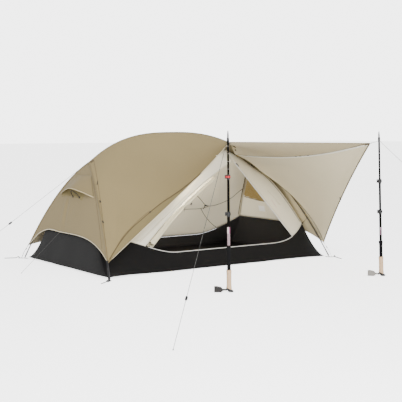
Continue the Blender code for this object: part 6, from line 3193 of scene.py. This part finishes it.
@dataclass(frozen=True)
class Studio:
    """Floor, lights and camera."""

    camera_place: tuple[float, float, float] = (-4.28, -6.34, 1.07)
    camera_yaw: float = 35.49
    camera_pitch: float = -4.44
    focal_pixels: float = 917.0
    frame_pixels: float = 402.0
    sky: float = 1.0
    backdrop: float = 3.6

    def build(self) -> None:
        """Sets up the studio."""
        self.floor()
        self.world()
        self.light("key", (-5.5, -6.5, 6.0), (0.0, 0.0, 0.4), 4.0, 380.0)
        self.light("fill", (4.0, -7.5, 3.5), (0.2, -0.5, 0.4), 5.0, 160.0)
        self.light("front", (-2.5, -6.5, 1.3), (0.1, 0.0, 0.35), 3.0, 300.0)
        self.light("inside", (-0.24, -0.10, 0.78), (0.25, 0.45, 0.25), 0.22, 24.0)
        self.camera()

    def floor(self) -> None:
        """A pale floor far larger than the tent."""
        shape = bmesh.new()
        bmesh.ops.create_grid(shape, x_segments=4, y_segments=4, size=60.0)
        bmesh.ops.translate(shape, verts=shape.verts, vec=(0, 0, -0.001))
        new_object("studio_floor", shape, [Looks.ground])

    def world(self) -> None:
        """An even white surround, brighter where the camera sees it."""
        world = bpy.data.worlds.new("studio")
        world.use_nodes = True
        back = world.node_tree.nodes["Background"]
        back.inputs["Color"].default_value = (1.0, 1.0, 1.0, 1.0)
        seen = world.node_tree.nodes.new("ShaderNodeLightPath").outputs["Is Camera Ray"]
        strength = world.node_tree.nodes.new("ShaderNodeMath")
        strength.operation = "MULTIPLY_ADD"
        strength.inputs[1].default_value = self.backdrop
        strength.inputs[2].default_value = self.sky
        world.node_tree.links.new(seen, strength.inputs[0])
        world.node_tree.links.new(strength.outputs[0], back.inputs["Strength"])
        bpy.context.scene.world = world

    def light(
        self, name: str, place: Sequence[float], aim: Sequence[float], size: float, power: float
    ) -> None:
        """One soft light.

        Args:
            name: Name of the light.
            place: Where it hangs.
            aim: The point that it faces.
            size: Side of the square that shines.
            power: Its power in watts.
        """
        data = bpy.data.lights.new(name, "AREA")
        data.size = size
        data.energy = power
        lamp = bpy.data.objects.new(name, data)
        lamp.location = place
        lamp.rotation_euler = (Vector(aim) - Vector(place)).to_track_quat("-Z", "Y").to_euler()
        bpy.context.scene.collection.objects.link(lamp)

    def camera(self) -> None:
        """The camera at the photograph's place and angle."""
        data = bpy.data.cameras.new("camera")
        data.sensor_width = 36.0
        data.sensor_fit = "AUTO"
        data.lens = self.focal_pixels / self.frame_pixels * data.sensor_width
        data.clip_end = 200.0
        camera = bpy.data.objects.new("camera", data)
        camera.location = self.camera_place
        camera.rotation_euler = (math.radians(90 + self.camera_pitch), 0.0, math.radians(-self.camera_yaw))
        bpy.context.scene.collection.objects.link(camera)
        bpy.context.scene.camera = camera


POLE_VALUES = (
    {
        "number": 1, "base": (-0.645, -1.562), "lean": -0.013, "lift": 0.0006, "tip_height": 1.064,
        "tip_start": 0.60, "middle_start": 0.30, "middle_clamp": 0.763, "upper_clamp": 0.519,
        "foam_top": 0.301, "cork_top": 0.147, "strap_heading": (-0.85, 0.52),
        "clamp_finish": Looks.red_plastic, "tube_finish": Looks.shaft_one, "band_finish": Looks.print_one,
        "printed": ((0.3049, 0.4321),),
    },
    {
        "number": 2, "base": (0.670, -1.678), "lean": -0.048, "lift": 0.0012, "tip_height": 1.058,
        "tip_start": 0.55, "middle_start": 0.26, "middle_clamp": 0.699, "upper_clamp": 0.476,
        "foam_top": 0.260, "cork_top": 0.143, "strap_heading": (-0.72, 0.69),
        "clamp_finish": Looks.black_plastic, "tube_finish": Looks.shaft_two, "band_finish": Looks.print_two,
        "printed": ((0.2999, 0.3601),),
    },
)


def main() -> None:
    """Builds the tent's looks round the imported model."""
    logging.basicConfig(level=logging.INFO, format="%(message)s")
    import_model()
    Studio().build()
    poles = tuple(TrekkingPole(**values) for values in POLE_VALUES)
    Lines(poles).build()
    for pole in poles:
        pole.build()
    PoleFrame().build()
    Fastenings().build()
    Flysheet().build()
    Awning().build()
    InnerTent().build()


if __name__ == "__main__":
    main()
